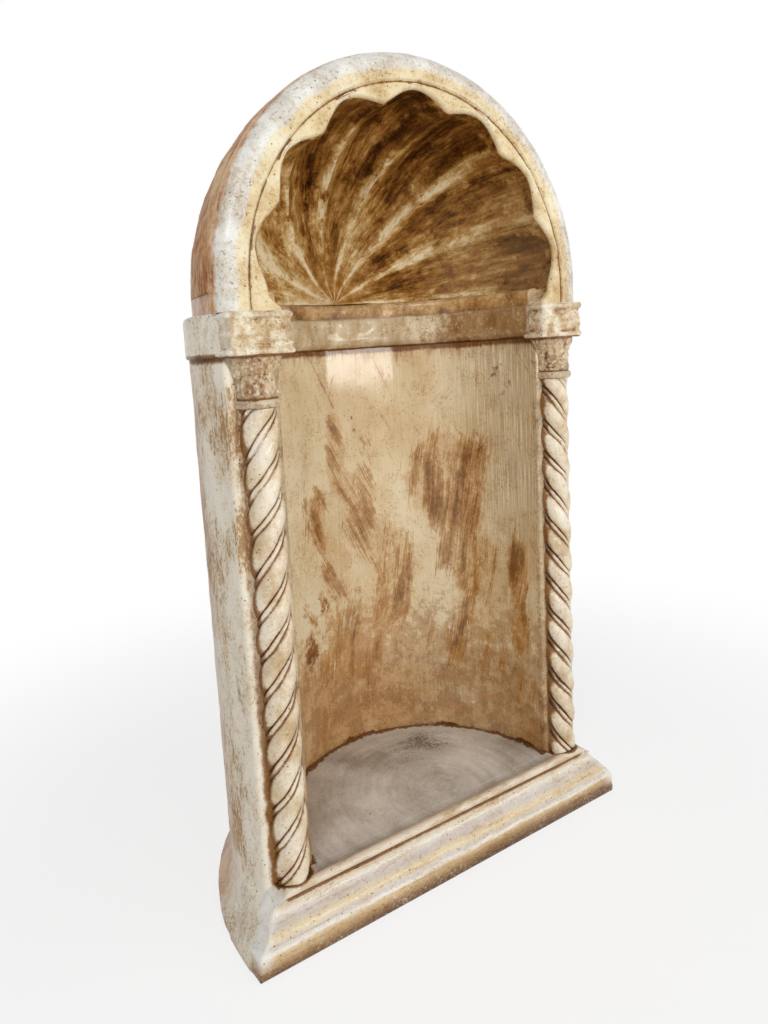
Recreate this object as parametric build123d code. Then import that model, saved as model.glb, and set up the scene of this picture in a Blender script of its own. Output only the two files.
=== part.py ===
from build123d import *
import os
from math import cos, degrees, radians, sin, sqrt

os.makedirs("parts", exist_ok=True)

# A cast statue niche with a scallop-shell half dome, twisted columns and a moulded plinth.
# Millimetres. The upright niche axis is the origin, the niche opens toward -Y, +Z is up.

# Plan of the niche
interior_radius = 193.0     # hollow of the niche, half-round in plan
wall_thickness = 77.0
wall_front = 7.0            # jamb faces stand this far in front of the niche axis
jamb_sweep = 24.0           # degrees of wall that belong to each jamb
back_wall_count = 5
arris_width = 16.0          # the outer corner of each jamb is cut back by this width
arris_length = 54.0         # over this length along the side
arris_radius = 4.0          # and its edge is worn
inner_arris_radius = 3.0

# Plinth
base_spread = 20.0          # the plinth reaches this far beyond the wall
base_front = 48.0           # front of the plinth, from the niche axis
band_height = 28.0          # upright lower band
ogee_height = 38.0          # sloping moulding above the band
ogee_sag_share = 0.13       # bulge of the moulding, as a share of its slope
skirt_straight = 10.0       # upright foot of the plinth round the sides and back
skirt_margin = 18.0         # its flare reaches the wall this far below the bench
skirt_hollow_share = 0.05   # hollow of the flare, as a share of its slope

# Sill and floor
sill_height = 10.0
sill_margin = 4.0           # sill in front of the column foot
sill_overhang = 3.0
floor_thickness = 6.0

# Twisted columns
column_radius = 22.0
column_inset = 28.0         # column axis, from the inner face of the wall
column_height = 530.0
strand_count = 3
strand_rise = 44.0          # height from one strand to the next
groove_depth = 4.4
fillet_drop = 1.2           # the thin fillet lies this much below the strand
fillet_turn_share = 0.2    # part of each strand's turn taken by the thin fillet

# Capitals
astragal_height = 10.0
astragal_reach = 3.5
astragal_round_share = 0.45 # rounding of its edge, as a share of its height
capital_height = 44.0
capital_half_width = 33.0

# Imposts
impost_height = 45.0
impost_reach = 13.0         # band stands this far proud of the inner wall
impost_spread = 4.0         # and this far proud of the outer wall
impost_cove = 10.0
cove_hollow_share = 0.12
impost_count = 5
past_half_turn = 20.0       # degrees by which bands run on past the half circle
abacus_inner = 9.0          # block reaches this far inside the inner wall face
abacus_depth = 22.0         # block in front of the jamb face
abacus_taper = 2.0          # the block narrows by this toward its front
lip_height = 6.0
lip_reach = 2.0

# Arch and shell
stilt = 21.0                # upright stretch between impost and arch centre
arch_front = 24.0           # arch face, from the niche axis
dome_setback = 8.0          # the dome stands back from the wall below by this
arch_width = 36.0           # arch band, from its outer edge to the incised line
arch_round = 22.0           # roundover at the outer edge of the arch
groove_width = 2.0          # incised line between arch band and scalloped rim
flute_count = 7
rim_width = 6.0             # scalloped rim at its narrowest
scallop_depth = 15.0
cusp_round = 14.0           # radius of the rounded points between the scallops
hinge_share = 0.14          # share of the scallop left at the hinge
flute_section_shares = (1.0, 0.975, 0.9, 0.77, 0.6, 0.42, 0.26, hinge_share)
hinge_reach = 12.0          # hinge boss in front of the shell
ledge_reach = 5.0           # ledge under the shell, inside the inner wall
arch_crown_span = 60.0      # degrees of arch in the crown piece
side_rim_flutes = 2         # scallops on each side piece of the rim
shell_sill_count = 3

overrun = 10.0              # cuts run past the solid by this much

# Worked-out places
outer_radius = interior_radius + wall_thickness
base_radius = outer_radius + base_spread
bench_z = band_height + ogee_height
sill_z = bench_z + sill_height
ring_z = sill_z + column_height
capital_z = ring_z + astragal_height
impost_z = capital_z + capital_height
spring_z = impost_z + impost_height
centre_z = spring_z + stilt
column_x = interior_radius + column_inset
dome_radius = outer_radius - dome_setback
groove_radius = dome_radius - arch_width
lobe_radius = groove_radius - rim_width
cusp_radius = lobe_radius - scallop_depth
shell_depth = interior_radius
sill_front = wall_front + column_radius + sill_margin
ogee_top = sill_front - sill_overhang
corner_x = outer_radius - arris_width
half_turn = 180.0
full_turn = 360.0
flute_turn = half_turn / flute_count
arch_axis = Axis((0, 0, centre_z), (0, -1, 0))
reach = 2 * (base_radius + overrun)


def save(shape, name):
    solids = shape.solids()
    piece = solids[0] if len(solids) == 1 else Compound(children=list(solids))
    piece.label = name
    export_step(piece, os.path.join("parts", name + ".step"))


def mirrored(shape):
    return mirror(shape, about=Plane.YZ)


def block(x0, x1, y0, y1, z0, z1):
    """Upright block between two corners."""
    size = Box(x1 - x0, y1 - y0, z1 - z0, align=(Align.MIN, Align.MIN, Align.MIN))
    return Pos(x0, y0, z0) * size


def behind(y, z0, z1):
    """Everything behind the upright plane at y."""
    return block(-reach, reach, y, reach, z0, z1)


def before(y, z0, z1):
    return block(-reach, reach, -reach, y, z0, z1)


def wedge(start, turn, z0, z1):
    """Upright wedge round the niche axis, from the start angle over a turn in degrees."""
    arm = reach * sqrt(2)
    points = [(0, 0)]
    for share in (0, 1 / 2, 1):
        angle = radians(start + turn * share)
        points.append((arm * cos(angle), arm * sin(angle)))
    face = make_face(Polyline(*points, close=True))
    return extrude(Pos(0, 0, z0) * face, amount=z1 - z0)


def wedges(count, z0, z1):
    """Equal wedges over the half circle and a little past its ends."""
    turn = (half_turn + 2 * past_half_turn) / count
    return [wedge(turn * number - past_half_turn, turn, z0, z1) for number in range(count)]


def ring(inner, outer, z0, z1):
    tube = Cylinder(outer, z1 - z0) - Cylinder(inner, z1 - z0)
    return Pos(0, 0, (z0 + z1) / 2) * tube


def bulged(start, end, share):
    """Arc from start to end whose sagitta is a share of the chord, to the left of the way."""
    dx, dy = end[0] - start[0], end[1] - start[1]
    middle = ((start[0] + end[0]) / 2 - dy * share, (start[1] + end[1]) / 2 + dx * share)
    return ThreePointArc(start, middle, end)


# Plinth: a turned foot that flares from the wall, cut in front by a straight moulding

def plinth_turned():
    foot = (base_radius, 0)
    shoulder = (base_radius, skirt_straight)
    top = (outer_radius, bench_z - skirt_margin)
    lines = [
        Line((0, 0), foot),
        Line(foot, shoulder),
        bulged(shoulder, top, skirt_hollow_share),
        Line(top, (outer_radius, bench_z)),
        Line((outer_radius, bench_z), (0, bench_z)),
        Line((0, bench_z), (0, 0)),
    ]
    return revolve(Plane.XZ * make_face(lines), axis=Axis.Z)


def plinth_front():
    low = (-base_front, band_height)
    high = (-ogee_top, bench_z)
    middle = ((low[0] + high[0]) / 2, (low[1] + high[1]) / 2)
    lines = [
        Line((-base_front, 0), low),
        bulged(low, middle, ogee_sag_share),
        bulged(middle, high, -ogee_sag_share),
        Line(high, (reach, bench_z)),
        Line((reach, bench_z), (reach, 0)),
        Line((reach, 0), (-base_front, 0)),
    ]
    return extrude(Plane.YZ * make_face(lines), amount=reach, both=True)


def corners_sloped(shape):
    """Both front corners slope from the foot of the jamb down to the lower band."""
    corner = Vector(sqrt(base_radius ** 2 - base_front ** 2), -base_front, band_height)
    arris = Vector(corner_x, -wall_front, bench_z)
    end = straight_side_end(outer_radius)
    side = Vector(end.X, end.Y, bench_z)
    slope = Plane(origin=corner, x_dir=arris - corner, z_dir=(side - corner).cross(arris - corner))
    shape = split(shape, bisect_by=slope, keep=Keep.BOTTOM)
    return mirrored(split(mirrored(shape), bisect_by=slope, keep=Keep.BOTTOM))


def sill_bead():
    nose = sill_height / 2
    profile = [
        Line((-wall_front, bench_z), (nose - sill_front, bench_z)),
        ThreePointArc((nose - sill_front, bench_z), (-sill_front, bench_z + nose),
                      (nose - sill_front, sill_z)),
        Line((nose - sill_front, sill_z), (-wall_front, sill_z)),
        Line((-wall_front, sill_z), (-wall_front, bench_z)),
    ]
    return extrude(Plane.YZ * make_face(profile), amount=corner_x, both=True)


def floor_slab():
    disc = Pos(0, 0, bench_z + floor_thickness / 2) * Cylinder(interior_radius, floor_thickness)
    return disc & behind(-wall_front, 0, sill_z)


# Walls

def wall(start, turn):
    shell = ring(interior_radius, outer_radius, bench_z, impost_z)
    return shell & wedge(start, turn, bench_z, impost_z)


def straight_side_end(radius):
    """Where the cut-back corner on the right runs into the round of the wall."""
    y = arris_length - wall_front
    return Vector(sqrt(radius ** 2 - y ** 2), y)


def corner_cut(spread, z0, z1):
    """What the outer corner on the right loses, where the side is moved out by a spread."""
    radius = outer_radius + spread
    start = Vector(radius - arris_width, -wall_front)
    end = straight_side_end(radius)
    past = (end - start).normalized() * overrun
    start, end = start - past, end + past
    outline = Polyline((start.X, start.Y), (end.X, end.Y), (reach, end.Y), (reach, start.Y), close=True)
    return extrude(Pos(0, 0, z0) * make_face(outline), amount=z1 - z0)


def both_corners_cut(shape, spread, z0, z1):
    cut = corner_cut(spread, z0, z1)
    return shape - cut - mirrored(cut)


def jamb():
    front = -degrees(wall_front / interior_radius) * 2
    piece = wall(front, jamb_sweep - front) & behind(-wall_front, bench_z, impost_z)
    piece = piece - corner_cut(0, bench_z, impost_z)
    uprights = piece.edges().filter_by(Axis.Z).group_by(Axis.Y)[0].sort_by(Axis.X)
    piece = fillet(uprights[-1], arris_radius)
    uprights = piece.edges().filter_by(Axis.Z).group_by(Axis.Y)[0].sort_by(Axis.X)
    return fillet(uprights[0], inner_arris_radius)


# Columns: a section of fat strands and thin fillets, twisted up and cut to a half-round

def strand_section():
    low = column_radius - groove_depth
    turn = full_turn / strand_count
    thin = turn * fillet_turn_share
    tops = ((turn - thin, column_radius), (thin, column_radius - fillet_drop))
    curves = []
    angle = 0.0
    for step in range(strand_count):
        for span, top in tops:
            place = [(low, 0), (top, span / 2), (low, span)]
            points = [(r * cos(radians(angle + a)), r * sin(radians(angle + a))) for r, a in place]
            curves.append(ThreePointArc(*points))
            angle += span
    return make_face(curves)


def column():
    twist = full_turn * column_height / (strand_count * strand_rise)
    core = Solid.extrude_linear_with_rotation(
        strand_section().face(), center=(0, 0, 0), normal=(0, 0, column_height), angle=-twist)
    core = Pos(column_x, -wall_front, sill_z) * core
    return core & before(-wall_front, sill_z - overrun, ring_z + overrun)


def astragal():
    radius = column_radius + astragal_reach
    disc = fillet(Cylinder(radius, astragal_height).edges(), astragal_height * astragal_round_share)
    disc = Pos(column_x, -wall_front, (ring_z + capital_z) / 2) * disc
    return disc & before(-wall_front, ring_z - overrun, capital_z + overrun)


def half_oval(half_width, depth, z):
    """Half oval that stands in front of the jamb face."""
    oval = Ellipse(half_width, depth) & Pos(0, -depth) * Rectangle(2 * half_width, 2 * depth)
    return Pos(column_x, -wall_front, z) * oval


def capital():
    spread_shares = (0.0, 0.12, 0.42, 1.0)
    height_shares = (0.0, 0.45, 0.8, 1.0)
    spread = capital_half_width - column_radius
    faces = []
    for wide, high in zip(spread_shares, height_shares):
        faces.append(half_oval(column_radius + spread * wide, column_radius,
                               capital_z + capital_height * high))
    return loft(faces)


# Imposts

def abacus_plan(grow):
    inner = interior_radius - abacus_inner
    front = -wall_front - abacus_depth - grow
    side = corner_x + impost_spread
    points = [
        (inner - grow, -wall_front),
        (inner - grow, front),
        (side - abacus_taper + grow, front),
        (side + grow, -wall_front),
    ]
    return make_face(Polyline(*points, close=True))


def abacus():
    courses = [(lip_reach, impost_z, impost_z + lip_height),
               (0, impost_z + lip_height, spring_z - lip_height),
               (lip_reach, spring_z - lip_height, spring_z)]
    stone = None
    for grow, z0, z1 in courses:
        course = extrude(Pos(0, 0, z0) * abacus_plan(grow), amount=z1 - z0)
        stone = course if stone is None else stone + course
    return stone


def impost_ring():
    inner = interior_radius - impost_reach
    outer = outer_radius + impost_spread
    cove_z = impost_z + impost_cove
    lines = [
        Line((outer, impost_z), (outer, spring_z)),
        Line((outer, spring_z), (inner, spring_z)),
        Line((inner, spring_z), (inner, cove_z)),
        bulged((inner, cove_z), (interior_radius, impost_z), cove_hollow_share),
        Line((interior_radius, impost_z), (outer, impost_z)),
    ]
    whole = revolve(Plane.XZ * make_face(lines), axis=Axis.Z)
    whole = whole & behind(-wall_front, impost_z, spring_z)
    return both_corners_cut(whole, impost_spread, impost_z, spring_z)


# Arch and shell

def arch_section():
    """Section of the arch band on the right springing, seen in plan."""
    flat = dome_radius - arch_round
    lines = [
        Line((groove_radius, 0), (groove_radius, groove_width - arch_front)),
        Line((groove_radius, groove_width - arch_front), (groove_radius + groove_width, -arch_front)),
        Line((groove_radius + groove_width, -arch_front), (flat, -arch_front)),
        RadiusArc((flat, -arch_front), (dome_radius, arch_round - arch_front), -arch_round),
        Line((dome_radius, arch_round - arch_front), (dome_radius, 0)),
        Line((dome_radius, 0), (groove_radius, 0)),
    ]
    return Pos(0, 0, centre_z) * make_face(lines)


def swept(section, start, end):
    turned = section.rotate(arch_axis, start)
    return revolve(turned, axis=arch_axis, revolution_arc=end - start)


def ray(angle):
    """Unit vector at an angle in degrees about the arch centre."""
    return Vector(cos(radians(angle)), sin(radians(angle)))


def scallop_circles(number):
    """Centres of one round scallop and of the rounded points on both sides, and its radius."""
    start, middle, end = (flute_turn * (number + share) for share in (0, 1 / 2, 1))
    far = cusp_radius + cusp_round
    spread = cos(radians(flute_turn / 2))
    gap = lobe_radius ** 2 + far ** 2 - 2 * lobe_radius * far * spread - cusp_round ** 2
    radius = gap / (2 * (lobe_radius + cusp_round - far * spread))
    return ray(start) * far, ray(middle) * (lobe_radius - radius), ray(end) * far, radius


def arc_round(centre, radius, first, last):
    """Short arc about a centre between two points on it."""
    between = (first - centre).normalized() + (last - centre).normalized()
    return ThreePointArc(first, centre + between.normalized() * radius, last)


def scallop_arcs(number, past):
    """One scallop with half of the rounded points beside it, or the whole points if past is true."""
    before_point, scallop, after_point, radius = scallop_circles(number)
    crown = scallop.normalized() * lobe_radius
    arcs = []
    ends = []
    for centre in (before_point, after_point):
        touch = centre + (scallop - centre).normalized() * cusp_round
        tip = centre.normalized() * cusp_radius
        mirror_touch = centre.normalized() * (2 * touch.dot(centre.normalized())) - touch
        ends.append((touch, mirror_touch if past else tip))
        if past:
            arcs.append(ThreePointArc(mirror_touch, tip, touch))
        else:
            arcs.append(arc_round(centre, cusp_round, tip, touch))
    arcs.append(ThreePointArc(ends[0][0], crown, ends[1][0]))
    return arcs, ends[0][1], ends[1][1]


def arch_plane(y):
    """Plane across the niche at y, centred on the arch, with its own y axis upward."""
    return Plane(origin=(0, y, centre_z), x_dir=(1, 0, 0), z_dir=(0, -1, 0))


def rim(first, count, leg):
    """Scalloped rim over some flutes, between the scallops and the incised line."""
    front = groove_width / 2 - arch_front
    curves = []
    for number in range(first, first + count):
        curves += scallop_arcs(number, False)[0]
    start, end = flute_turn * first, flute_turn * (first + count)
    middle = (start + end) / 2
    outer = [ray(angle) * groove_radius for angle in (start, middle, end)]
    curves.append(ThreePointArc(*outer))
    curves.append(Line(ray(start) * cusp_radius, outer[0]))
    curves.append(Line(ray(end) * cusp_radius, outer[2]))
    piece = extrude(arch_plane(0) * make_face(curves), amount=-front)
    if leg:
        piece = piece + block(cusp_radius, groove_radius, front, 0, spring_z, centre_z)
    return piece


def arch(start, end, leg):
    piece = swept(arch_section(), start, end)
    if leg:
        piece = piece + extrude(arch_section(), amount=stilt, dir=(0, 0, -1))
    return piece


def flute_section(share, number):
    """Outline that hollows one flute, at a share of its full size."""
    arcs, right, left = scallop_arcs(number, True)
    apex = ray(flute_turn * (number + 1 / 2)) * -scallop_depth
    outline = make_face(arcs + [Line(apex, right), Line(left, apex)])
    return arch_plane(shell_depth * sqrt(1 - share ** 2)) * scale(outline, by=share)


def flute(number):
    quarter = Pos(0, 0, centre_z) * (Circle(dome_radius) & Pos(dome_radius / 2, dome_radius / 2)
                                     * Rectangle(dome_radius, dome_radius))
    stave = swept(quarter, flute_turn * number, flute_turn * (number + 1))
    hollow = loft([flute_section(share, number) for share in flute_section_shares])
    return stave - hollow


def shell_sill():
    return ring(interior_radius - ledge_reach, dome_radius, spring_z, centre_z) & behind(
        0, spring_z, centre_z)


def shell_hinge():
    """Half-round boss where the flutes meet."""
    back = shell_depth * sqrt(1 - hinge_share ** 2)
    radius = hinge_share * cusp_radius
    profile = [
        Line((0, back), (radius, back)),
        ThreePointArc((radius, back), (radius * sin(radians(45)), back - hinge_reach * sin(radians(45))),
                      (0, back - hinge_reach)),
        Line((0, back - hinge_reach), (0, back)),
    ]
    return revolve(Pos(0, 0, centre_z) * make_face(profile), axis=arch_axis, revolution_arc=half_turn)


def save_pair(shape, name):
    save(shape, "right_" + name)
    save(mirrored(shape), "left_" + name)


def main():
    save(corners_sloped(plinth_turned() & plinth_front()), "plinth")
    save(corners_sloped(sill_bead()), "sill_bead")
    save(floor_slab(), "floor_slab")
    save_pair(jamb(), "jamb")
    back_turn = (half_turn - 2 * jamb_sweep) / back_wall_count
    for number in range(back_wall_count):
        save(wall(jamb_sweep + back_turn * number, back_turn), "back_wall_%d" % (number + 1))
    save_pair(column(), "column")
    save_pair(astragal(), "astragal")
    save_pair(capital(), "capital")
    save_pair(abacus(), "abacus")
    band = impost_ring()
    for number, part in enumerate(wedges(impost_count, impost_z, spring_z)):
        save(band & part, "impost_band_%d" % (number + 1))
    side_span = (half_turn - arch_crown_span) / 2
    save_pair(arch(0, side_span, True), "arch_band")
    save(arch(side_span, side_span + arch_crown_span, False), "crown_arch_band")
    save_pair(rim(0, side_rim_flutes, True), "scalloped_rim")
    save(rim(side_rim_flutes, flute_count - 2 * side_rim_flutes, False), "crown_scalloped_rim")
    ledge = shell_sill()
    ledge_turn = half_turn / shell_sill_count
    for number in range(shell_sill_count):
        part = wedge(ledge_turn * number, ledge_turn, spring_z, centre_z)
        save(ledge & part, "shell_sill_%d" % (number + 1))
    for number in range(flute_count):
        save(flute(number), "shell_flute_%d" % (number + 1))
    save(shell_hinge(), "shell_hinge")


main()
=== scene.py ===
# %% [markdown]
# # A cast niche for a statue
# The niche is one plaster casting: a half-round wall, a scallop-shell half dome, two twisted columns
# and a moulded plinth. It was painted ivory, rubbed with brown wax that stayed in every hollow, and
# lacquered. The solids give the sizes. This lesson gives them worn edges, carving and the old paint.

# %% Load the frame
from math import pi, radians

import bmesh
import bpy
import numpy as np
from mathutils import Matrix, Vector


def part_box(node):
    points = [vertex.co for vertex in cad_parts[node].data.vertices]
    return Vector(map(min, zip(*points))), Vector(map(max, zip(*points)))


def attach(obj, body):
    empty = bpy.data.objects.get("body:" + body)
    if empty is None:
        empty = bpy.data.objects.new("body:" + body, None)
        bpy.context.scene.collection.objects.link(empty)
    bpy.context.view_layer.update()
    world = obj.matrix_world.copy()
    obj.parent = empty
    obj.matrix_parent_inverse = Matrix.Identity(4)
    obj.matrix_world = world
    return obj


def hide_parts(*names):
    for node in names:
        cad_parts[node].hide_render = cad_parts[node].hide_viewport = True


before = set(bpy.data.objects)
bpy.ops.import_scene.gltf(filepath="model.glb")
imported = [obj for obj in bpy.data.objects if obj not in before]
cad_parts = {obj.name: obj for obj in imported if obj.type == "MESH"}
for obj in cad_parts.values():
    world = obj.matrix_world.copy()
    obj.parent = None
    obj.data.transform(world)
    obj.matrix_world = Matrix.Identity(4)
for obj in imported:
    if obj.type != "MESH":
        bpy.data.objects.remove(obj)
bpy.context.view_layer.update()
mm = 0.001

# %% [markdown]
# ## Sizes from the frame
# Every size that the solids already hold is read from their boxes, so that a change in the solids
# moves the visual pieces with it. The origin is on the ground under the centre of the round hollow,
# the niche opens toward -Y and Z points up.

# %% Read the sizes


def low(node):
    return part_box(node)[0]


def high(node):
    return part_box(node)[1]


hollow_radius = high("floor_slab").x
outer_radius = high("back_wall_3").y
jamb_y = low("floor_slab").y
bench_z = low("floor_slab").z
floor_z = high("floor_slab").z
sill_z = high("sill_bead").z
ring_z = high("right_column").z
capital_z = high("right_astragal").z
impost_z = high("right_capital").z
spring_z = high("right_abacus").z
centre_z = high("shell_sill_2").z
dome_radius = high("crown_arch_band").z - centre_z
groove_radius = high("crown_scalloped_rim").z - centre_z
arch_front = low("crown_arch_band").y
column_x = (low("right_astragal").x + high("right_astragal").x) / 2
corner_x = high("sill_bead").x
column_radius = jamb_y - low("right_column").y
print("hollow", round(hollow_radius, 3), "outer", round(outer_radius, 3), "dome", round(dome_radius, 3))
print("column at", round(column_x, 3), "radius", round(column_radius, 4), "top", round(ring_z, 3))

# %% [markdown]
# ## Arithmetic on node sockets
# Node trees are easier to read as formulas. This small class holds one socket: adding or multiplying
# it adds a Math node, and `node` adds any other kind, with its settings before its sockets. It serves
# shader trees and geometry trees alike.

# %% A socket that can be calculated with


class Wire:
    """One output socket of a node tree."""

    def __init__(self, tree, socket=None):
        self.tree = tree
        self.socket = socket

    def node(self, kind, settings=None, inputs=None, output=0):
        """Adds a node and gives one of its outputs."""
        made = self.tree.nodes.new(kind)
        for name, value in (settings or {}).items():
            setattr(made, name, value)
        for key, value in (inputs or {}).items():
            if isinstance(value, Wire):
                self.tree.links.new(value.socket, made.inputs[key])
            else:
                made.inputs[key].default_value = value
        return Wire(self.tree, made.outputs[output] if made.outputs else None)

    def also(self, output):
        """Another output of the same node."""
        return Wire(self.tree, self.socket.node.outputs[output])

    def maths(self, operation, *others):
        """A Math node whose first value is this one."""
        return self.node("ShaderNodeMath", {"operation": operation}, dict(enumerate((self, *others))))

    def __add__(self, other):
        return self.maths("ADD", other)

    def __sub__(self, other):
        return self.maths("SUBTRACT", other)

    def __rsub__(self, other):
        return self.node("ShaderNodeMath", {"operation": "SUBTRACT"}, {0: other, 1: self})

    def __mul__(self, other):
        return self.maths("MULTIPLY", other)

    def __truediv__(self, other):
        return self.maths("DIVIDE", other)

    def __pow__(self, other):
        return self.maths("POWER", other)

    __radd__ = __add__
    __rmul__ = __mul__

    def step(self, start, end):
        """Smooth step from 0 at start to 1 at end."""
        return self.node("ShaderNodeMapRange", {"interpolation_type": "SMOOTHSTEP"},
                         {"Value": self, "From Min": start, "From Max": end})


def blank(owner):
    """Empties the node tree of a material or world and gives a Wire on it."""
    owner.use_nodes = True
    owner.node_tree.nodes.clear()
    return Wire(owner.node_tree)


print("sockets can be added, subtracted, multiplied, divided and raised")

# %% [markdown]
# ## Small shader helpers
# Colours are written as the screen values of the paint and turned into Blender's linear light. Brush
# marks and drips are noise that is long one way and narrow the other, so a place can be stretched
# before its noise is drawn.

# %% Colours and patterns


def tone(red, green, blue):
    """Screen colour, 0 to 255, as a linear colour."""
    linear = [(c / 255 / 12.92) if c < 10.3 else ((c / 255 + 0.055) / 1.055) ** 2.4
              for c in (red, green, blue)]
    return (*linear, 1.0)


def mix(factor, first, second):
    return factor.node("ShaderNodeMix", {"data_type": "RGBA"}, {0: factor, 6: first, 7: second}, 2)


def glaze(factor, colour, tint):
    """Multiplies the paint under it by a tint, so it stays warm when it darkens. It lays thin brown glaze and
    some painted shade.
    """
    return factor.node("ShaderNodeMix", {"data_type": "RGBA", "blend_type": "MULTIPLY"},
                       {0: factor, 6: colour, 7: tint}, 2)


def stretched(place, along_x, along_y, along_z):
    return place.node("ShaderNodeVectorMath", {"operation": "MULTIPLY"},
                      {0: place, 1: (along_x, along_y, along_z)})


def joined(x, y, z=0.0):
    return x.node("ShaderNodeCombineXYZ", {}, {"X": x, "Y": y, "Z": z})


def noise(place, scale, detail=3.0, roughness=0.55):
    """Noise from 0 to 1 with about `scale` blots per metre."""
    return place.node("ShaderNodeTexNoise", {},
                      {"Vector": place, "Scale": scale, "Detail": detail, "Roughness": roughness})


def attribute(place, name):
    return place.node("ShaderNodeAttribute", {"attribute_name": name}, {}, "Fac")


def ramp(value, *stops):
    """Colour that follows a value. Each stop is its place and the screen colour there."""
    colour = value.node("ShaderNodeValToRGB", {}, {"Fac": value})
    elements = colour.socket.node.color_ramp.elements
    while len(elements) < len(stops):
        elements.new(1.0)
    for element, (position, *paint) in zip(elements, stops):
        element.position = position
        element.color = tone(*paint)
    return colour


def parts(place):
    x = place.node("ShaderNodeSeparateXYZ", {}, {"Vector": place})
    return x, x.also(1), x.also(2)


def absolute(value):
    return value.maths("ABSOLUTE")


def length(x, y):
    return (x * x + y * y) ** 0.5


def swing(value, size):
    """A noise that swings about 0 instead of a half."""
    return (value - 0.5) * size


def drawn(x, y, seed, detail, roughness):
    """Noise over two coordinates that are already stretched, for marks that run one way."""
    return noise(joined(x, y, seed), 1.0, detail, roughness)


def ragged_wax(place, least, gain, scale, roughness):
    """The wax that a mesh keeps at its points, with a ragged border."""
    return attribute(place, "wax") * (least + gain * noise(place, scale, 5, roughness))


wax_dark = tone(44, 22, 6)
worn_white_and_highlight = tone(240, 234, 218)
thin_glaze = (0.76, 0.58, 0.36, 1.0)
mid_brown = (0.52, 0.33, 0.15, 1.0)
deep_brown = (0.34, 0.18, 0.065, 1.0)
rust_glaze = (0.80, 0.50, 0.25, 1.0)
worn_corner_highlight = tone(243, 244, 242)
print("rubbed plaster in linear light:", [round(c, 2) for c in worn_white_and_highlight[:3]])

# %% [markdown]
# ## The lacquered plaster
# All parts share one finish over their own paint: pinholes where air was trapped, brown wax in the
# hollows, paint rubbed off the edges with a painted highlight along them, small painted glints and a
# satin lacquer. Each part brings a painter, a function that gives its colour and where more wax lies.
# Wax and wear have ragged borders, because a coarse grit is added to each mask before its step.

# %% One finish for every painter
pit_spacing = 7 * mm
pit_radius = 0.75 * mm
pit_share = 0.36
lacquer_roughness = 0.09
grit_scale, dust_scale, patch_scale, crack_scale = 260, 700, 26, 75  # blots per metre
crack_width = (0.010, 0.002)
bump_strength = 0.8


def pit_mask(place):
    """Pinholes: a dot in some of the cells of a cell pattern."""
    distance = place.node("ShaderNodeTexVoronoi", {}, {"Vector": place, "Scale": 1 / pit_spacing})
    chance = parts(distance.also("Color"))[0]
    radius = pit_radius / pit_spacing
    return distance.step(radius * 1.4, radius * 0.7) * chance.step(1 - pit_share, 1.02 - pit_share)


def plaster(name, painter, coat=0.2, gloss=0.25, grain=1.0, stain=1.0, edge_wear_and_light=0.3, pale=0.35, soak=0.7):
    """Painted, waxed, rubbed and lacquered plaster, with painted highlights on its edges and painted glints.
    Its grain is the height of the bumps in mm.
    """
    material = bpy.data.materials.new(name)
    place = blank(material).node("ShaderNodeTexCoord", output="Object")
    colour, wax, *lacquer = painter(place)
    lacquer = lacquer[0] * coat if lacquer else coat
    grit = noise(place, grit_scale, 2, 0.6)
    dust = noise(place, dust_scale, 1, 0.5)
    patches = noise(place, patch_scale, 6, 0.64)
    cracks = absolute(noise(place, crack_scale, 4, 0.6) - 0.5).step(*crack_width)
    hollow = attribute(place, "hollow")
    pits = pit_mask(place)
    colour = glaze(patches.step(0.46, 0.68) * (0.5 * stain), colour, thin_glaze)
    specks = grit * 0.62 + dust * 0.38 + swing(patches, 0.5)
    colour = glaze(specks.step(0.55, 0.64) * (0.8 * stain), colour, mid_brown)
    colour = glaze(cracks * patches.step(0.44, 0.58) * (0.6 * stain), colour, mid_brown)
    # painted glints: small pale specks stand for light catching the bumps
    colour = mix(specks.step(0.43, 0.32) * pale, colour, worn_white_and_highlight)
    # edges: paint rubbed off, and a painted highlight along them
    rubbed = (hollow * -1 + swing(grit, 1.2) + swing(patches, 0.8)).step(0.15, 0.55)
    colour = mix(rubbed * edge_wear_and_light, colour, worn_white_and_highlight)
    depth = wax + hollow.step(0.05, 0.75) * soak + swing(grit, 0.35) + swing(patches, 0.5)
    colour = glaze(depth.step(0.14, 0.50), colour, deep_brown)
    colour = mix(depth.step(0.62, 1.0) * 0.85, colour, wax_dark)
    colour = glaze(pits * 0.95, colour, deep_brown)
    height = patches * 0.4 + grit * 0.8 + dust * 0.25 - pits * 1.6
    bump = place.node("ShaderNodeBump", {}, {"Strength": bump_strength, "Distance": grain * mm,
                                             "Height": height})
    rough = 0.30 + 0.22 * patches + 0.2 * depth.step(0.3, 0.8)
    shader = place.node("ShaderNodeBsdfPrincipled", {}, {
        "Base Color": colour, "Roughness": rough, "Specular IOR Level": gloss, "Coat Weight": lacquer,
        "Coat Roughness": lacquer_roughness, "Normal": bump})
    place.node("ShaderNodeOutputMaterial", {}, {"Surface": shader})
    print("finish:", name, "with", len(material.node_tree.nodes), "nodes")
    return material


rear_start, rear_end = 30 * mm, 110 * mm


def weathered(place):
    """Colour of the plain outside: grey cream in front, rubbed orange brown toward the back."""
    y = parts(place)[1]
    scratches = noise(stretched(place, 330, 330, 60), 1.0, 2, 0.6)
    specks = noise(stretched(place, 480, 480, 240), 1.0, 1, 0.5)
    patches = noise(stretched(place, 1, 1, 0.45), 18, 6, 0.66)
    colour = mix(patches.step(0.40, 0.62), tone(240, 231, 214), tone(222, 206, 180))
    worn = scratches * 0.55 + specks * 0.45 + swing(patches, 1.3)
    colour = glaze(worn.step(0.50, 0.70) * 0.9, colour, mid_brown)
    rear = (y + swing(patches, 0.12) + swing(scratches, 0.06)).step(rear_start, rear_end)
    return glaze(rear * 0.85, colour, rust_glaze)


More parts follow.
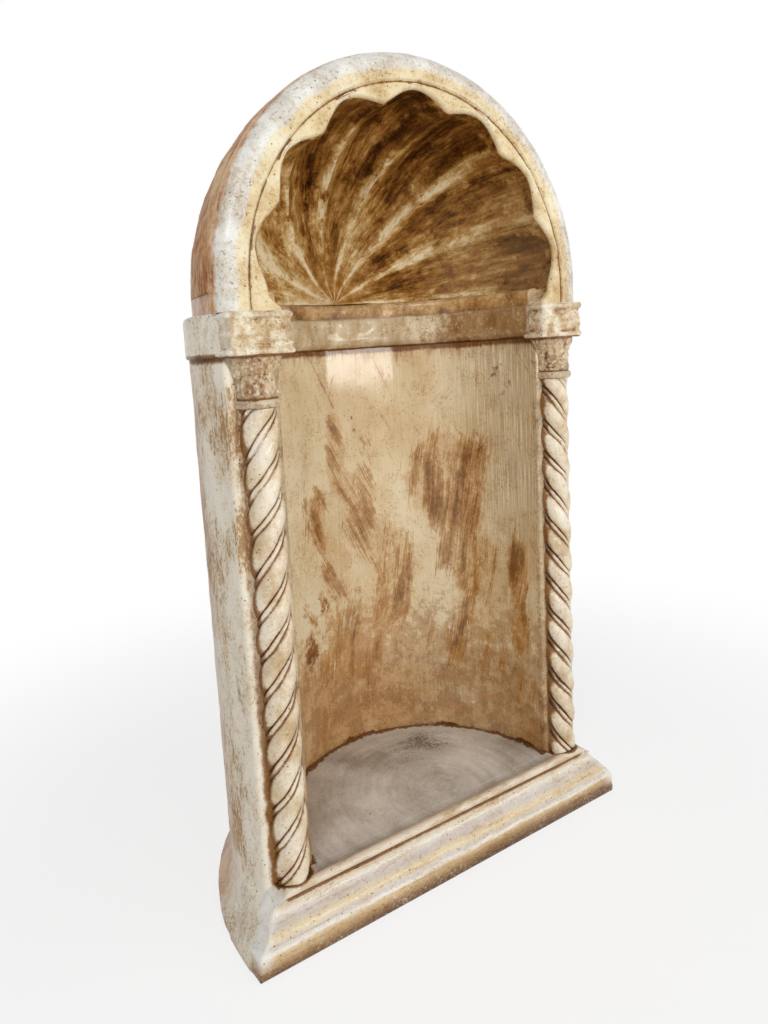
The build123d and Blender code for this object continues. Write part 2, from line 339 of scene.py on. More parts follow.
def old_side(place):
    """Colour of the arch's side and the dome's outside: orange brown, rubbed and streaked."""
    streaks = noise(stretched(place, 60, 240, 60), 1.0, 4, 0.68)
    patches = noise(place, 22, 5, 0.66)
    colour = mix(patches.step(0.38, 0.64), tone(222, 186, 144), tone(194, 138, 86))
    return glaze((streaks + swing(patches, 0.6)).step(0.50, 0.64) * 0.8, colour, mid_brown)


print("pinholes lie about", round(pit_spacing / mm), "mm apart, in", pit_share, "of their cells")


# %% [markdown]
# ## Meshes from rows, and the skin of a casting
# Most parts are rows of points joined into quads: a profile carried along a path, or an outline
# carried upward. A Geometry Nodes tree then gives them the unevenness of a casting. It pushes every
# point along its normal by two sizes of noise, so that no edge is quite straight.

# %% Rows to a closed mesh
same_point = 0.01 * mm


def new_object(name, data):
    obj = bpy.data.objects.new(name, data)
    bpy.context.scene.collection.objects.link(obj)
    return obj


def rows_mesh(name, rows, wax=0.0, uneven=1.0):
    """Closed mesh from an array of rows, points and coordinates, with wax and unevenness per point."""
    rows = np.asarray(rows, float)
    count, around = rows.shape[:2]
    index = np.arange(count * around).reshape(count, around)
    after = np.roll(index, -1, axis=1)
    quads = np.stack([index[:-1], after[:-1], after[1:], index[1:]], axis=-1).reshape(-1, 4)
    faces = quads.tolist() + [index[0].tolist(), index[-1].tolist()]
    mesh = bpy.data.meshes.new(name)
    mesh.from_pydata(rows.reshape(-1, 3).tolist(), [], faces)
    keep(mesh, "wax", np.broadcast_to(wax, rows.shape[:2]))
    keep(mesh, "uneven", np.broadcast_to(uneven, rows.shape[:2]))
    outward(mesh)
    return new_object(name, mesh)


def keep(mesh, name, values):
    """Stores one number for each point of a mesh."""
    layer = mesh.attributes.new(name, "FLOAT", "POINT")
    layer.data.foreach_set("value", np.ravel(values).astype(np.float32))


def outward(mesh):
    """Merges doubled points, closes what is open and turns every face outward."""
    shape = bmesh.new()
    shape.from_mesh(mesh)
    bmesh.ops.remove_doubles(shape, verts=shape.verts, dist=same_point)
    bmesh.ops.holes_fill(shape, edges=[edge for edge in shape.edges if edge.is_boundary])
    bmesh.ops.recalc_face_normals(shape, faces=shape.faces)
    shape.to_mesh(mesh)
    shape.free()


def ease(value, start, end):
    """Smooth step for arrays."""
    share = np.clip((np.asarray(value, float) - start) / (end - start), 0, 1)
    return share * share * (3 - 2 * share)


print("half way, an eased share is", float(ease(0.5, 0, 1)))

# %% The casting skin as a tree


def new_tree(name, **inputs):
    """Geometry tree with named inputs. Gives the tree and a Wire on its input node."""
    tree = bpy.data.node_groups.new(name, "GeometryNodeTree")
    tree.interface.new_socket("Geometry", in_out="INPUT", socket_type="NodeSocketGeometry")
    for label, (kind, value) in inputs.items():
        socket = tree.interface.new_socket(label, in_out="INPUT", socket_type="NodeSocket" + kind)
        if value is not None:
            socket.default_value = value
    tree.interface.new_socket("Geometry", in_out="OUTPUT", socket_type="NodeSocketGeometry")
    return tree, Wire(tree).node("NodeGroupInput")


def end_tree(geometry, material):
    """Realize Instances and Set Material, then the output."""
    real = geometry.node("GeometryNodeRealizeInstances", {}, {"Geometry": geometry})
    dressed = real.node("GeometryNodeSetMaterial", {}, {"Geometry": real, "Material": material})
    dressed.node("NodeGroupOutput", {}, {"Geometry": dressed})


sealed_gap = 0.02 * mm


def unit_grid(start, across, along):
    """A flat grid, with the shares from 0 to 1 across and along it."""
    grid = start.node("GeometryNodeMeshGrid", {}, {"Size X": 1.0, "Size Y": 1.0,
                                                   "Vertices X": across, "Vertices Y": along})
    x, y = parts(start.node("GeometryNodeInputPosition"))[:2]
    return grid, x + 0.5, y + 0.5


def bent_grid(grid, spots, finish, **values):
    """Keeps values at the points of a grid, moves the points to their spots and merges what meets."""
    for name, value in values.items():
        grid = grid.node("GeometryNodeStoreNamedAttribute", {"data_type": "FLOAT", "domain": "POINT"},
                         {"Geometry": grid, "Name": name, "Value": value})
    moved = grid.node("GeometryNodeSetPosition", {}, {"Geometry": grid, "Position": spots})
    sealed = moved.node("GeometryNodeMergeByDistance", {}, {"Geometry": moved, "Distance": sealed_gap})
    end_tree(sealed, finish)


def casting_skin():
    tree, start = new_tree("casting_skin", Lump=("Float", 1.0 * mm), LumpScale=("Float", 24.0),
                           Grain=("Float", 0.3 * mm), GrainScale=("Float", 120.0),
                           Finish=("Material", None))
    # Lump and Grain are heights in metres, their scales are blots per metre
    lumps = start.node("ShaderNodeTexNoise", {}, {"Scale": start.also("LumpScale"), "Detail": 2.0})
    grain = start.node("ShaderNodeTexNoise", {}, {"Scale": start.also("GrainScale"), "Detail": 1.0})
    uneven = start.node("GeometryNodeInputNamedAttribute", {"data_type": "FLOAT"}, {"Name": "uneven"})
    height = (lumps - 0.5) * start.also("Lump") * 2 + (grain - 0.5) * start.also("Grain") * 2
    height = height * uneven
    normal = start.node("GeometryNodeInputNormal")
    offset = normal.node("ShaderNodeVectorMath", {"operation": "SCALE"}, {0: normal, "Scale": height})
    moved = start.node("GeometryNodeSetPosition", {}, {"Geometry": start, "Offset": offset})
    end_tree(moved, start.also("Finish"))
    return tree


skin_tree = casting_skin()
print("tree", skin_tree.name, "has", len(skin_tree.nodes), "nodes")


def run_tree(obj, tree, **values):
    """Runs a tree on an object and keeps its result as the object's own plain mesh."""
    modifier = obj.modifiers.new(tree.name, "NODES")
    modifier.node_group = tree
    for item in tree.interface.items_tree:
        if item.in_out == "INPUT" and item.name in values:
            modifier[item.identifier] = values[item.name]
    graph = bpy.context.evaluated_depsgraph_get()
    mesh = bpy.data.meshes.new_from_object(obj.evaluated_get(graph), depsgraph=graph,
                                           preserve_all_data_layers=True)
    obj.modifiers.remove(modifier)
    obj.data = mesh


hollow_reach = 5 * mm
shortest_edge = 0.3 * mm
spread_passes = 2
sharp_corner = radians(60.0)


def vectors(source, what="co"):
    """Points or normals of a mesh as rows of an array."""
    flat = np.empty(len(source) * 3)
    source.foreach_get(what, flat)
    return flat.reshape(-1, 3)


def measure_hollows(mesh):
    """Keeps how hollow each point is: above 0 in creases, below 0 on edges."""
    points, normals = vectors(mesh.vertices), vectors(mesh.vertex_normals, "vector")
    pairs = np.empty(len(mesh.edges) * 2, int)
    mesh.edges.foreach_get("vertices", pairs)
    one, two = pairs.reshape(-1, 2).T
    way = points[two] - points[one]
    square = np.maximum((way ** 2).sum(axis=1), shortest_edge ** 2)
    count = len(points)
    total = np.bincount(one, (normals[one] * way).sum(axis=1) / square, count)
    total -= np.bincount(two, (normals[two] * way).sum(axis=1) / square, count)
    number = np.maximum(np.bincount(one, minlength=count) + np.bincount(two, minlength=count), 1)
    bend = total / number
    for _ in range(spread_passes):
        spread = np.bincount(one, bend[two], count) + np.bincount(two, bend[one], count)
        bend = bend / 2 + spread / number / 2
    keep(mesh, "hollow", np.clip(bend * hollow_reach, -1, 1))


def place_piece(obj, nodes, finish, lump=1.0 * mm, grain=0.3 * mm, grain_scale=120.0):
    """Gives a piece its casting skin and finish, hangs it on the root body and hides the solids it stands
    for.
    """
    run_tree(obj, skin_tree, Lump=lump, Grain=grain, GrainScale=grain_scale, Finish=finish)
    measure_hollows(obj.data)
    obj.data.shade_smooth()
    obj.data.set_sharp_from_angle(angle=sharp_corner)
    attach(obj, "root")
    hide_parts(*nodes)
    triangles = sum(len(face.vertices) - 2 for face in obj.data.polygons)
    print("piece", obj.name, "has", triangles, "triangles and stands for", len(nodes), "solids")


def numbered(stem, count):
    return ["%s_%d" % (stem, number + 1) for number in range(count)]


# %% [markdown]
# ## Outlines
# Six small helpers make the outlines: an arc, a soft corner, a loop with its points spread evenly, a
# polygon with soft corners, half a plan that is closed with its mirror image, and a plan lifted to a
# height. Even points matter, because the casting skin can only move the points that it finds.

# %% Arcs and rounded outlines
fewest_points = 3
bend_points = 7


def arc(centre, radius, start, end, step):
    """Points on an arc, angles in radians, about `step` apart."""
    count = max(fewest_points, int(abs(end - start) * radius / step) + 1)
    angles = np.linspace(start, end, count)
    return np.stack([centre[0] + radius * np.cos(angles), centre[1] + radius * np.sin(angles)], axis=-1)


def soft_corner(start, corner, end):
    """Points on the bend that leads from start to end and rounds the corner between them."""
    share = np.linspace(0, 1, bend_points)[:, None]
    return (1 - share) ** 2 * start + 2 * share * (1 - share) * corner + share ** 2 * end


def even_loop(points, step):
    """A closed outline with its points spread evenly."""
    closed = np.vstack([points, points[:1]])
    lengths = np.concatenate([[0], np.cumsum(np.linalg.norm(np.diff(closed, axis=0), axis=1))])
    places = np.linspace(0, lengths[-1], int(lengths[-1] / step) + 1)[:-1]
    return np.stack([np.interp(places, lengths, closed[:, axis]) for axis in (0, 1)], axis=-1)


def rounded(points, radius, step):
    """A closed polygon whose corners are rounded, with even points."""
    points = np.asarray(points, float)
    curves = []
    for number, corner in enumerate(points):
        before, after = points[number - 1], points[(number + 1) % len(points)]
        start = corner + (before - corner) / np.linalg.norm(before - corner) * radius
        end = corner + (after - corner) / np.linalg.norm(after - corner) * radius
        curves.append(soft_corner(start, corner, end))
    return even_loop(np.vstack(curves), step)


def mirrored_half(half):
    """Outline of the right half, from back to front, closed with its mirror image."""
    return np.vstack([half, half[::-1] * (-1, 1)])


def lifted(plan, z):
    return np.column_stack([plan, np.full(len(plan), z)])


print("half a turn at 10 mm has", len(arc((0, 0), 10 * mm, 0, pi, mm)), "points a millimetre apart")

# %% [markdown]
# ## The wall paint
# Inside, the wall is ivory paint under ochre glaze. Someone dragged a dry brush through the glaze in
# slanting swaths at about half height, wax ran down from under the band, and the foot is stained. The
# swaths are worked out on the unrolled wall: broad noise along the stroke gives whole swaths that
# differ, fine noise gives bristle lines, and soft oval zones say where the painter worked.

# %% Where the dry brush went
# Each zone is its angle in degrees, height, half turn in degrees, half height and strength
left_zones = ((92, 0.505, 6, 0.070, 0.58), (104, 0.425, 6, 0.050, 0.52), (81, 0.435, 8, 0.065, 0.50),
              (95, 0.335, 9, 0.060, 0.46))
right_zones = ((42, 0.465, 19, 0.075, 0.56), (66, 0.335, 11, 0.090, 0.46), (33, 0.345, 13, 0.080, 0.50),
               (9.5, 0.325, 5, 0.055, 0.55), (9.5, 0.240, 5, 0.045, 0.55), (88, 0.230, 24, 0.070, 0.42),
               (34, 0.210, 20, 0.060, 0.36), (8, 0.155, 8, 0.030, 0.40))
blot_zones = ((113, 0.235, 6, 0.030, 0.56), (17, 0.605, 7, 0.030, 0.40), (26, 0.525, 3, 0.030, 0.36),
              (82, 0.555, 2, 0.030, 0.34), (100, 0.300, 9, 0.030, 0.28))
zone_edge = (1.7, 0.1)


def zone_field(angle, z, zones):
    """Sum of soft ovals on the unrolled wall."""
    total = 0.0
    for middle, height, half_turn, half_height, strength in zones:
        across = (angle - radians(middle)) / radians(half_turn)
        along = (z - height) / half_height
        total = (across * across + along * along).step(*zone_edge) * strength + total
    return total


def swaths(angle, z, field, slant, seed):
    """Dry-brush marks from 0 to 1, and where they are laid on twice."""
    right = angle * -hollow_radius
    bend = drawn(right * 5, z * 5, seed, 1, 0.5)
    across = right + z * slant + swing(bend, 0.035)
    along = z - right * slant
    broad = drawn(across * 42, along * 7, seed, 2, 0.5)
    bristles = drawn(across * 520, along * 11, seed, 3, 0.7)
    rough = drawn(across * 120, along * 60, seed, 5, 0.75)
    marks = field + swing(broad, 1.9) + swing(bristles, 1.1) + swing(rough, 1.2) + 0.05
    return marks.step(0.39, 0.52), marks.step(0.5, 0.95)


print("the dry brush has", len(left_zones) + len(right_zones), "zones")

# %% Paint the wall
paint_edge = (hollow_radius + 9 * mm, hollow_radius + 3 * mm)
clean_turn = (radians(85), radians(125))
grey_turn, grey_rise = (radians(48), radians(12)), (0.2, 0.5)
stain_rise, sweep_rise = (0.42, 0.14), (0.20, 0.09)
ochre_turn = (radians(40), radians(100))
drip_length = 35 * mm


def wall_ground(place, angle, z, hairs, crumbs):
    """Ivory paint with fine brush lines, grey at the right and stained toward the foot."""
    lines = drawn(angle * 420, z * 16, 7.0, 3, 0.7)
    wash = noise(stretched(place, 1, 1, 0.7), 10, 5, 0.6) * 0.62 + hairs * 0.22 + lines * 0.16
    wash = wash - angle.step(*clean_turn) * 0.11
    colour = ramp(wash, (0.36, 228, 213, 182), (0.48, 217, 196, 158), (0.58, 204, 177, 134),
                  (0.72, 190, 154, 106))
    grey = angle.step(*grey_turn) * z.step(*grey_rise) * hairs.step(0.35, 0.6)
    colour = mix(grey * 0.8, colour, tone(170, 150, 122))
    colour = glaze(lines.step(0.52, 0.70) * 0.2, colour, thin_glaze)
    flakes = noise(stretched(place, 1, 1, 0.8), 75, 5, 0.7)
    stained = z.step(*stain_rise) * 0.34 + crumbs * 0.75 + swing(hairs, 0.2) + swing(flakes, 0.3)
    brown = mix(angle.step(*ochre_turn), tone(168, 132, 88), tone(188, 132, 68))
    colour = mix(stained.step(0.55, 0.63) * 0.62, colour, brown)
    colour = mix(stained.step(0.66, 0.76) * 0.55, colour, tone(134, 88, 40))
    sweep = drawn(angle * 3.5, z * 120, 2.0, 5, 0.68)
    return mix(sweep.step(0.42, 0.62) * z.step(*sweep_rise) * 0.6, colour, tone(190, 142, 86))


def wall_marks(place, angle, z, colour, hairs, crumbs):
    """Dry-brush strokes over their veil of glaze, then blots, and drips under the band."""
    for zones, slant, seed in ((left_zones, 0.5, 3.0), (right_zones, -0.2, 11.0)):
        field = zone_field(angle, z, zones)
        marks, twice = swaths(angle, z, field, slant, seed)
        veil = field + swing(crumbs, 1.3) + swing(hairs, 0.5)
        colour = mix(veil.step(0.28, 0.46) * 0.4, colour, tone(190, 142, 78))
        colour = mix(marks * 0.66, colour, tone(170, 116, 44))
        colour = mix(twice * 0.85, colour, tone(110, 66, 16))
    ragged = swing(noise(place, 95, 6, 0.75), 2.4) + swing(crumbs, 1.2)
    blots = (zone_field(angle, z, blot_zones) + ragged * 0.8).step(0.40, 0.62)
    colour = glaze(blots * 0.85, colour, deep_brown)
    drips = drawn(angle * 24, z * 7, 0.0, 6, 0.7) + z.step(impost_z - drip_length, impost_z) * 0.25
    return glaze(drips.step(0.66, 0.82) * 0.6, colour, mid_brown)


print("wall paint ends", round((paint_edge[0] - hollow_radius) / mm), "mm out from the hollow")

# %% Wax, painted shade and lacquer on the wall
shade_reach, shade_rise = (29 * mm, 23.5 * mm), (0.5, 0.15)
joint_height, joint_ragged = 6 * mm, 22 * mm


def wall_paint(place):
    x, y, z = parts(place)
    angle = y.maths("ARCTAN2", x)
    inside = length(x, y).step(*paint_edge)
    hairs = drawn(angle * 130, z * 12, 0.0, 3, 0.6)
    crumbs = noise(place, 34, 6, 0.72)
    ground = wall_ground(place, angle, z, hairs, crumbs)
    colour = wall_marks(place, angle, z, ground, hairs, crumbs)
    # painted shade: the jamb beside each column is darkened with deep brown, more toward the foot
    beside = length(absolute(x) - column_x, y - jamb_y) + swing(noise(place, 60, 5, 0.7), 0.012)
    shade = beside.step(*shade_reach) * (0.4 + 0.6 * z.step(*shade_rise))
    colour = mix(inside, glaze(shade, weathered(place), deep_brown), colour)
    joint = (z + swing(noise(place, 60, 6, 0.75), joint_ragged)).step(floor_z + joint_height, floor_z)
    joint = joint * (0.35 + noise(place, 16, 3, 0.6).step(0.48, 0.6) * 0.65)
    wax = ragged_wax(place, 0.3, 1.2, 50, 0.65) + inside * joint * 0.75
    return colour, wax, inside * 0.95 + 0.05


wall_finish = plaster("painted_wall", wall_paint, coat=0.6, gloss=0.18, stain=0.5, grain=0.6, pale=0.12,
                      edge_wear_and_light=0.1)

# %% [markdown]
# ## The wall
# The plan of the wall is a thick half ring. Its outline runs round the outside, across one jamb,
# round the hollow and across the other jamb. Repeated upward it becomes the wall, and it starts a
# little below the bench, so that no gap shows behind the plinth. Wax gathered where the columns meet
# the jambs, and the wall is darker under the impost, so those places get a wax value.

# %% Build the wall
corner_round = 5 * mm
inner_round = 3 * mm
wall_step = 3 * mm
seat = 2 * mm
side_end = 47 * mm
side_softness = 100
least_facing = 0.1
outside_points, wall_levels = 160, 134
wall_foot = 20 * mm


def side_radius(angles, radius, corner):
    """Radius of the outside: round at the back, with a straighter side that leads to the corner."""
    start = np.array([corner, jamb_y])
    end = np.array([np.sqrt(radius ** 2 - side_end ** 2), side_end])
    way = (end - start) / np.linalg.norm(end - start)
    normal = np.array([way[1], -way[0]])
    facing = normal[0] * np.abs(np.cos(angles)) + normal[1] * np.sin(angles)
    side = (start @ normal) / np.maximum(facing, least_facing)
    return (radius ** -side_softness + side ** -side_softness) ** (-1 / side_softness)


def wall_half():
    """Right half of the plan, from the back of the outside to the back of the hollow."""
    inner_y = jamb_y + inner_round
    inner_x = np.sqrt((hollow_radius + inner_round) ** 2 - inner_y ** 2)
    inner_turn = np.arctan2(inner_y, inner_x)
    angles = np.linspace(pi / 2, np.arctan2(jamb_y + corner_round, corner_x), outside_points)
    radius = side_radius(angles, outer_radius, corner_x)
    outside = np.stack([radius * np.cos(angles), radius * np.sin(angles)], axis=-1)
    corner = np.array([corner_x, jamb_y])
    worn = soft_corner(outside[-1], corner, corner - (corner_round, 0))[1:]
    return np.vstack([outside, worn, arc((inner_x, inner_y), inner_round, -pi / 2, inner_turn - pi, mm),
                      arc((0, 0), hollow_radius, inner_turn, pi / 2, wall_step)])


def wall_wax(points):
    """Wax beside the columns and along the inner edge of the jambs, and a darker line under the band."""
    x, y, z = points[..., 0], points[..., 1], points[..., 2]
    radius = np.hypot(x, y)
    beside = np.hypot(np.abs(x) - column_x, y - jamb_y)
    face = ease(radius, hollow_radius + mm, hollow_radius + 6 * mm) * ease(y, 9 * mm, 1 * mm)
    at_column = face * ease(beside, column_radius + 9 * mm, column_radius + 2 * mm)
    edge = ease(y, 8 * mm, 0) * ease(radius, hollow_radius + 9 * mm, hollow_radius + 3 * mm)
    under = ease(z, impost_z - 10 * mm, impost_z - 2 * mm)
    return np.maximum(np.maximum(at_column * 0.2, edge * 0.26), under * 0.6)


outline = even_loop(mirrored_half(wall_half()), wall_step)
levels = np.linspace(bench_z - wall_foot, impost_z + seat, wall_levels)
wall_rows = np.array([lifted(outline, z) for z in levels])
from_axis = np.hypot(outline[:, 0], outline[:, 1])
smooth_inside = 0.12 + 0.88 * ease(from_axis, hollow_radius, hollow_radius + 20 * mm)
wall = rows_mesh("niche_wall", wall_rows, wall_wax(wall_rows), smooth_inside)
place_piece(wall, ["left_jamb", "right_jamb"] + numbered("back_wall", 5), wall_finish, lump=1.4 * mm)

# %% [markdown]
# ## Floor
# The floor is the greyest part: trowelled plaster with faint swirls and a stain at its back edge. The
# half-round outline shrinks toward its middle in rings, so the slab gets enough points to be uneven.

# %% Paint and build the floor
swirl_centre = (0.02, 0.02, 0.0)
crust_x, crust_y, crust_spread = 70 * mm, 120 * mm, 0.006
stain_width = 20 * mm
floor_rings, first_ring = 44, 0.02
floor_round, floor_step, floor_arc_step = 1 * mm, 4 * mm, 6 * mm


def floor_paint(place):
    x, y = parts(place)[:2]
    offset = place.node("ShaderNodeVectorMath", {"operation": "SUBTRACT"}, {0: place, 1: swirl_centre})
    swirl_x, swirl_y = parts(offset)[:2]
    turn = swirl_y.maths("ARCTAN2", swirl_x)
    cloud = noise(place, 12, 5, 0.6)
    swirls = drawn(length(swirl_x, swirl_y) * 110, turn * 1.2, cloud * 2, 4, 0.6)
    colour = ramp(swirls * 0.3 + cloud * 0.7, (0.36, 218, 214, 208), (0.5, 194, 189, 182),
                  (0.64, 162, 154, 144))
    stain = length(x, y).step(hollow_radius - stain_width, hollow_radius)
    stain = stain + swing(noise(place, 90, 5, 0.7), 1.6)
    aside, behind = x - crust_x, y - crust_y
    crusted = (aside * aside + behind * behind * 4).step(crust_spread, 0.0) * 0.16
    specks = noise(place, 280, 2, 0.6) + swing(noise(place, 24, 3), 0.5) + crusted
    colour = mix(specks.step(0.66, 0.76) * 0.7, colour, tone(98, 82, 66))
    return colour, stain.step(0.55, 0.9) * 0.6


floor_finish = plaster("trowelled_floor", floor_paint, coat=0.2, grain=0.4, stain=0.15, edge_wear_and_light=0.0)
floor_outline = rounded(np.vstack([arc((0, 0), hollow_radius, pi, 0, floor_arc_step),
                                   [(hollow_radius, jamb_y), (-hollow_radius, jamb_y)]]),
                        floor_round, floor_step)
floor_middle = floor_outline.mean(axis=0)
floor_rows = [lifted(floor_middle + (floor_outline - floor_middle) * share, floor_z)
              for share in np.linspace(first_ring, 1, floor_rings)]
floor_rows.append(floor_rows[-1] - (0, 0, floor_z - bench_z))
floor = rows_mesh("niche_floor", floor_rows)
place_piece(floor, ["floor_slab"], floor_finish, lump=0.5 * mm, grain=0.05 * mm)

# %% [markdown]
# ## Plinth
# The plinth's form is already right in its solid, but too crisp. A copy of the solid gets a new skin
# from a voxel remesh, and a few smoothing passes wear the edges as casting and handling do. The band
# at the front corners is drawn out a little, because it stands upright there. The paint goes by
# height: brown toward the ground, a rubbed white edge, then lilac grey and cream mouldings.

# %% Paint the plinth
front_paint = (-22 * mm, -32 * mm)
right_share, low_band = (-0.28, 0.15), (28 * mm, 18 * mm)
foot_stain, foot_grime = 14 * mm, 30 * mm
edge_front, edge_reach, edge_lean = 48 * mm, 284 * mm, 0.78
edge_width, edge_depth, edge_rise = (22 * mm, 2 * mm), (-2 * mm, -14 * mm), (8 * mm, 24 * mm)


def plinth_paint(place):
    x, y, z = parts(place)
    smears = noise(stretched(place, 9, 60, 170), 1.0, 5, 0.68)
    ragged = z + swing(noise(stretched(place, 30, 70, 70), 1.0, 6, 0.75), 0.012)
    share = ragged / bench_z - x.step(*right_share) * z.step(*low_band) * 0.10
    bands = ramp(share, (0.0, 104, 72, 42), (0.12, 150, 116, 74), (0.24, 196, 168, 128),
                 (0.35, 218, 194, 152), (0.42, 246, 243, 236), (0.50, 214, 208, 203), (0.62, 228, 210, 172),
                 (0.72, 206, 196, 190), (0.84, 230, 222, 208), (0.95, 208, 188, 160))
    bands = glaze(smears.step(0.46, 0.66) * 0.5, bands, thin_glaze)
    side = glaze(ragged.step(foot_stain, 0.0) * 0.7, weathered(place), mid_brown)
    grime = noise(stretched(place, 0.6, 1, 1), 330, 3, 0.7) + ragged.step(foot_grime, 0.0) * 0.10
    grime = (grime + swing(smears, 0.3)).step(0.58, 0.70)
    colour = glaze(grime * 0.7, mix(y.step(*front_paint), side, bands), mid_brown)
    # a white stripe up each front corner: worn paint with a painted highlight on it
    across = absolute(x) + (y + edge_front) * edge_lean + swing(smears, 0.012)
    edge = absolute(across - edge_reach).step(*edge_width) * y.step(*edge_depth) * z.step(*edge_rise)
    return mix(edge * 0.7, colour, worn_corner_highlight), ragged_wax(place, 0.45, 1.1, 50, 0.65)


plinth_finish = plaster("moulded_plinth", plinth_paint, stain=0.4, grain=0.9, edge_wear_and_light=0.85)

# %% Wear a copy of the plinth
voxel = 2.6 * mm
wear_passes = 3


def worn_copy(name, node):
    """A worn skin over a copy of one solid."""
    shape = bmesh.new()
    shape.from_mesh(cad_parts[node].data)
    bmesh.ops.remove_doubles(shape, verts=shape.verts, dist=same_point)
    mesh = bpy.data.meshes.new(name)
    shape.to_mesh(mesh)
    shape.free()
    obj = new_object(name, mesh)
    remesh = obj.modifiers.new("skin", "REMESH")
    remesh.mode = "VOXEL"
    remesh.voxel_size = voxel
    smooth = obj.modifiers.new("wear", "SMOOTH")
    smooth.iterations = wear_passes
    graph = bpy.context.evaluated_depsgraph_get()
    worn = bpy.data.meshes.new_from_object(obj.evaluated_get(graph), depsgraph=graph)
    obj.modifiers.clear()
    obj.data = worn
    return obj


plinth = worn_copy("plinth_casting", "plinth")
print("the worn plinth has", len(plinth.data.vertices), "points")

# %% Shape and place the plinth
bead_shadow = 7 * mm
flare_top, tuck_depth = 48 * mm, 2.5 * mm
tuck_rise, tuck_front = (flare_top - 2 * mm, flare_top + 12 * mm), (-12 * mm, -5 * mm)
band_foot, band_top, corner_gain = 10 * mm, 28 * mm, 9 * mm
gain_front, gain_reach = (30 * mm, -30 * mm), (235 * mm, 268 * mm)
bead_shadow_front = (-20 * mm, -26 * mm)
bead_end = (corner_x - 6 * mm, corner_x - 22 * mm)
even_foot = 5 * mm
unrubbed_foot = (6 * mm, 14 * mm)
spots = vectors(plinth.data.vertices)
x, y, z = spots.T
tuck = ease(z, *tuck_rise) * ease(y, *tuck_front)
spots[:, :2] *= 1 - (tuck * tuck_depth / outer_radius)[:, None]
gain = ease(z, band_foot, band_top) * ease(z, flare_top + 2 * mm, band_top)
gain *= ease(y, *gain_front) * ease(np.abs(x), *gain_reach)
spots[:, 0] += np.sign(x) * gain * corner_gain
plinth.data.vertices.foreach_set("co", np.ravel(spots))
# painted shadow: a dark line under the nose of the sill bead, kept as wax
under_bead = ease(z, bench_z - bead_shadow, bench_z) * ease(y, *bead_shadow_front) * ease(np.abs(x), *bead_end)
keep(plinth.data, "wax", under_bead * 0.9)
keep(plinth.data, "uneven", ease(z, 0, even_foot))
place_piece(plinth, ["plinth"], plinth_finish, lump=1.4 * mm, grain=0.3 * mm)
edges = plinth.data.attributes["hollow"].data
bends = np.empty(len(edges), np.float32)
edges.foreach_get("value", bends)
edges.foreach_set("value", bends * ease(z, *unrubbed_foot).astype(np.float32))

# %% [markdown]
# ## Sill
# A rounded bead runs along the front edge under the columns. It is a profile carried from end to end.
# Behind its nose it has the floor's paint, and at its ends it slopes down with the plinth's corners.
# A painted shadow lies under its nose.

# %% Paint the sill bead
nose_paint, end_paint = (-22 * mm, -27 * mm), (hollow_radius - 4 * mm, hollow_radius + 4 * mm)
end_corner_highlight = (corner_x - 16 * mm, corner_x - 2 * mm)


def sill_paint(place):
    x, y = parts(place)[:2]
    nose = (y + swing(noise(place, 60, 4, 0.6), 0.006)).step(*nose_paint)
    ends = absolute(x).step(*end_paint)
    bead = mix(noise(stretched(place, 0.3, 1, 1), 60, 4, 0.7).step(0.42, 0.64), tone(226, 212, 192),
               tone(192, 164, 128))
    # the white at the bead's ends carries the corner stripe on: worn paint with a painted highlight
    bead = mix(absolute(x).step(*end_corner_highlight) * 0.7, bead, worn_corner_highlight)
    colour = mix(nose.maths("MAXIMUM", ends), floor_paint(place)[0], bead)
    return colour, ragged_wax(place, 0.45, 1.1, 60, 0.6)


sill_finish = plaster("rubbed_sill", sill_paint, grain=0.4, stain=0.15, edge_wear_and_light=0.15)

# %% Build the sill bead
sill_front = low("sill_bead").y
sill_sections = 130
nose = (sill_z - bench_z) / 2
bead_back = 14 * mm
floor_gap = 0.3 * mm
corner_fall = 0.92
corner_skew = 0.22
nose_shadow_rise, foot_wax = 2.5 * mm, 5 * mm
slope_points, sill_step = 9, 1.6 * mm
rise = np.linspace(0, 1, slope_points)[1:]
bead_slope = np.column_stack([sill_front + nose + bead_back * rise,
                              sill_z - (sill_z - floor_z + floor_gap) * ease(rise, 0, 1)])
sill_profile = even_loop(np.vstack([
    arc((sill_front + nose, bench_z + nose), nose, -pi / 2, -3 * pi / 2, mm), bead_slope,
    [(jamb_y + seat, floor_z - floor_gap), (jamb_y + seat, bench_z - seat),
     (sill_front + nose, bench_z - seat)]]), sill_step)
sill_rows = np.array([np.column_stack([np.full(len(sill_profile), x), sill_profile])
                      for x in np.linspace(-corner_x, corner_x, sill_sections)])
from_middle, behind = np.abs(sill_rows[..., 0]), sill_rows[..., 1] - jamb_y
slope_z = bench_z + corner_fall * (corner_x + corner_skew * behind - from_middle)
sill_rows[..., 2] = np.minimum(sill_rows[..., 2], np.maximum(slope_z, bench_z - mm))
beside_foot = np.hypot(from_middle - column_x, behind)
# painted shadow under the bead's nose, kept as wax
under_nose = ease(sill_rows[..., 2], bench_z + nose_shadow_rise, bench_z) * ease(from_middle, *bead_end)
sill_wax = np.maximum(ease(beside_foot, column_radius + foot_wax, column_radius), under_nose) * 0.9
sill = rows_mesh("rounded_sill", sill_rows, sill_wax)
place_piece(sill, ["sill_bead"], sill_finish, lump=0.5 * mm, grain=0.05 * mm)

# %% [markdown]
# ## Twisted columns
# A twisted column follows a rule, so Geometry Nodes make it. A flat grid is rolled into a tube. The
# strand that a point lies on depends on its angle and height alone: each strand is a fat roll, and a
# thin fillet lies between two grooves. The depth of the groove is kept as wax for the paint, which
# also darkens the grooves as painted shade. The left column turns one way and the right column the
# other.

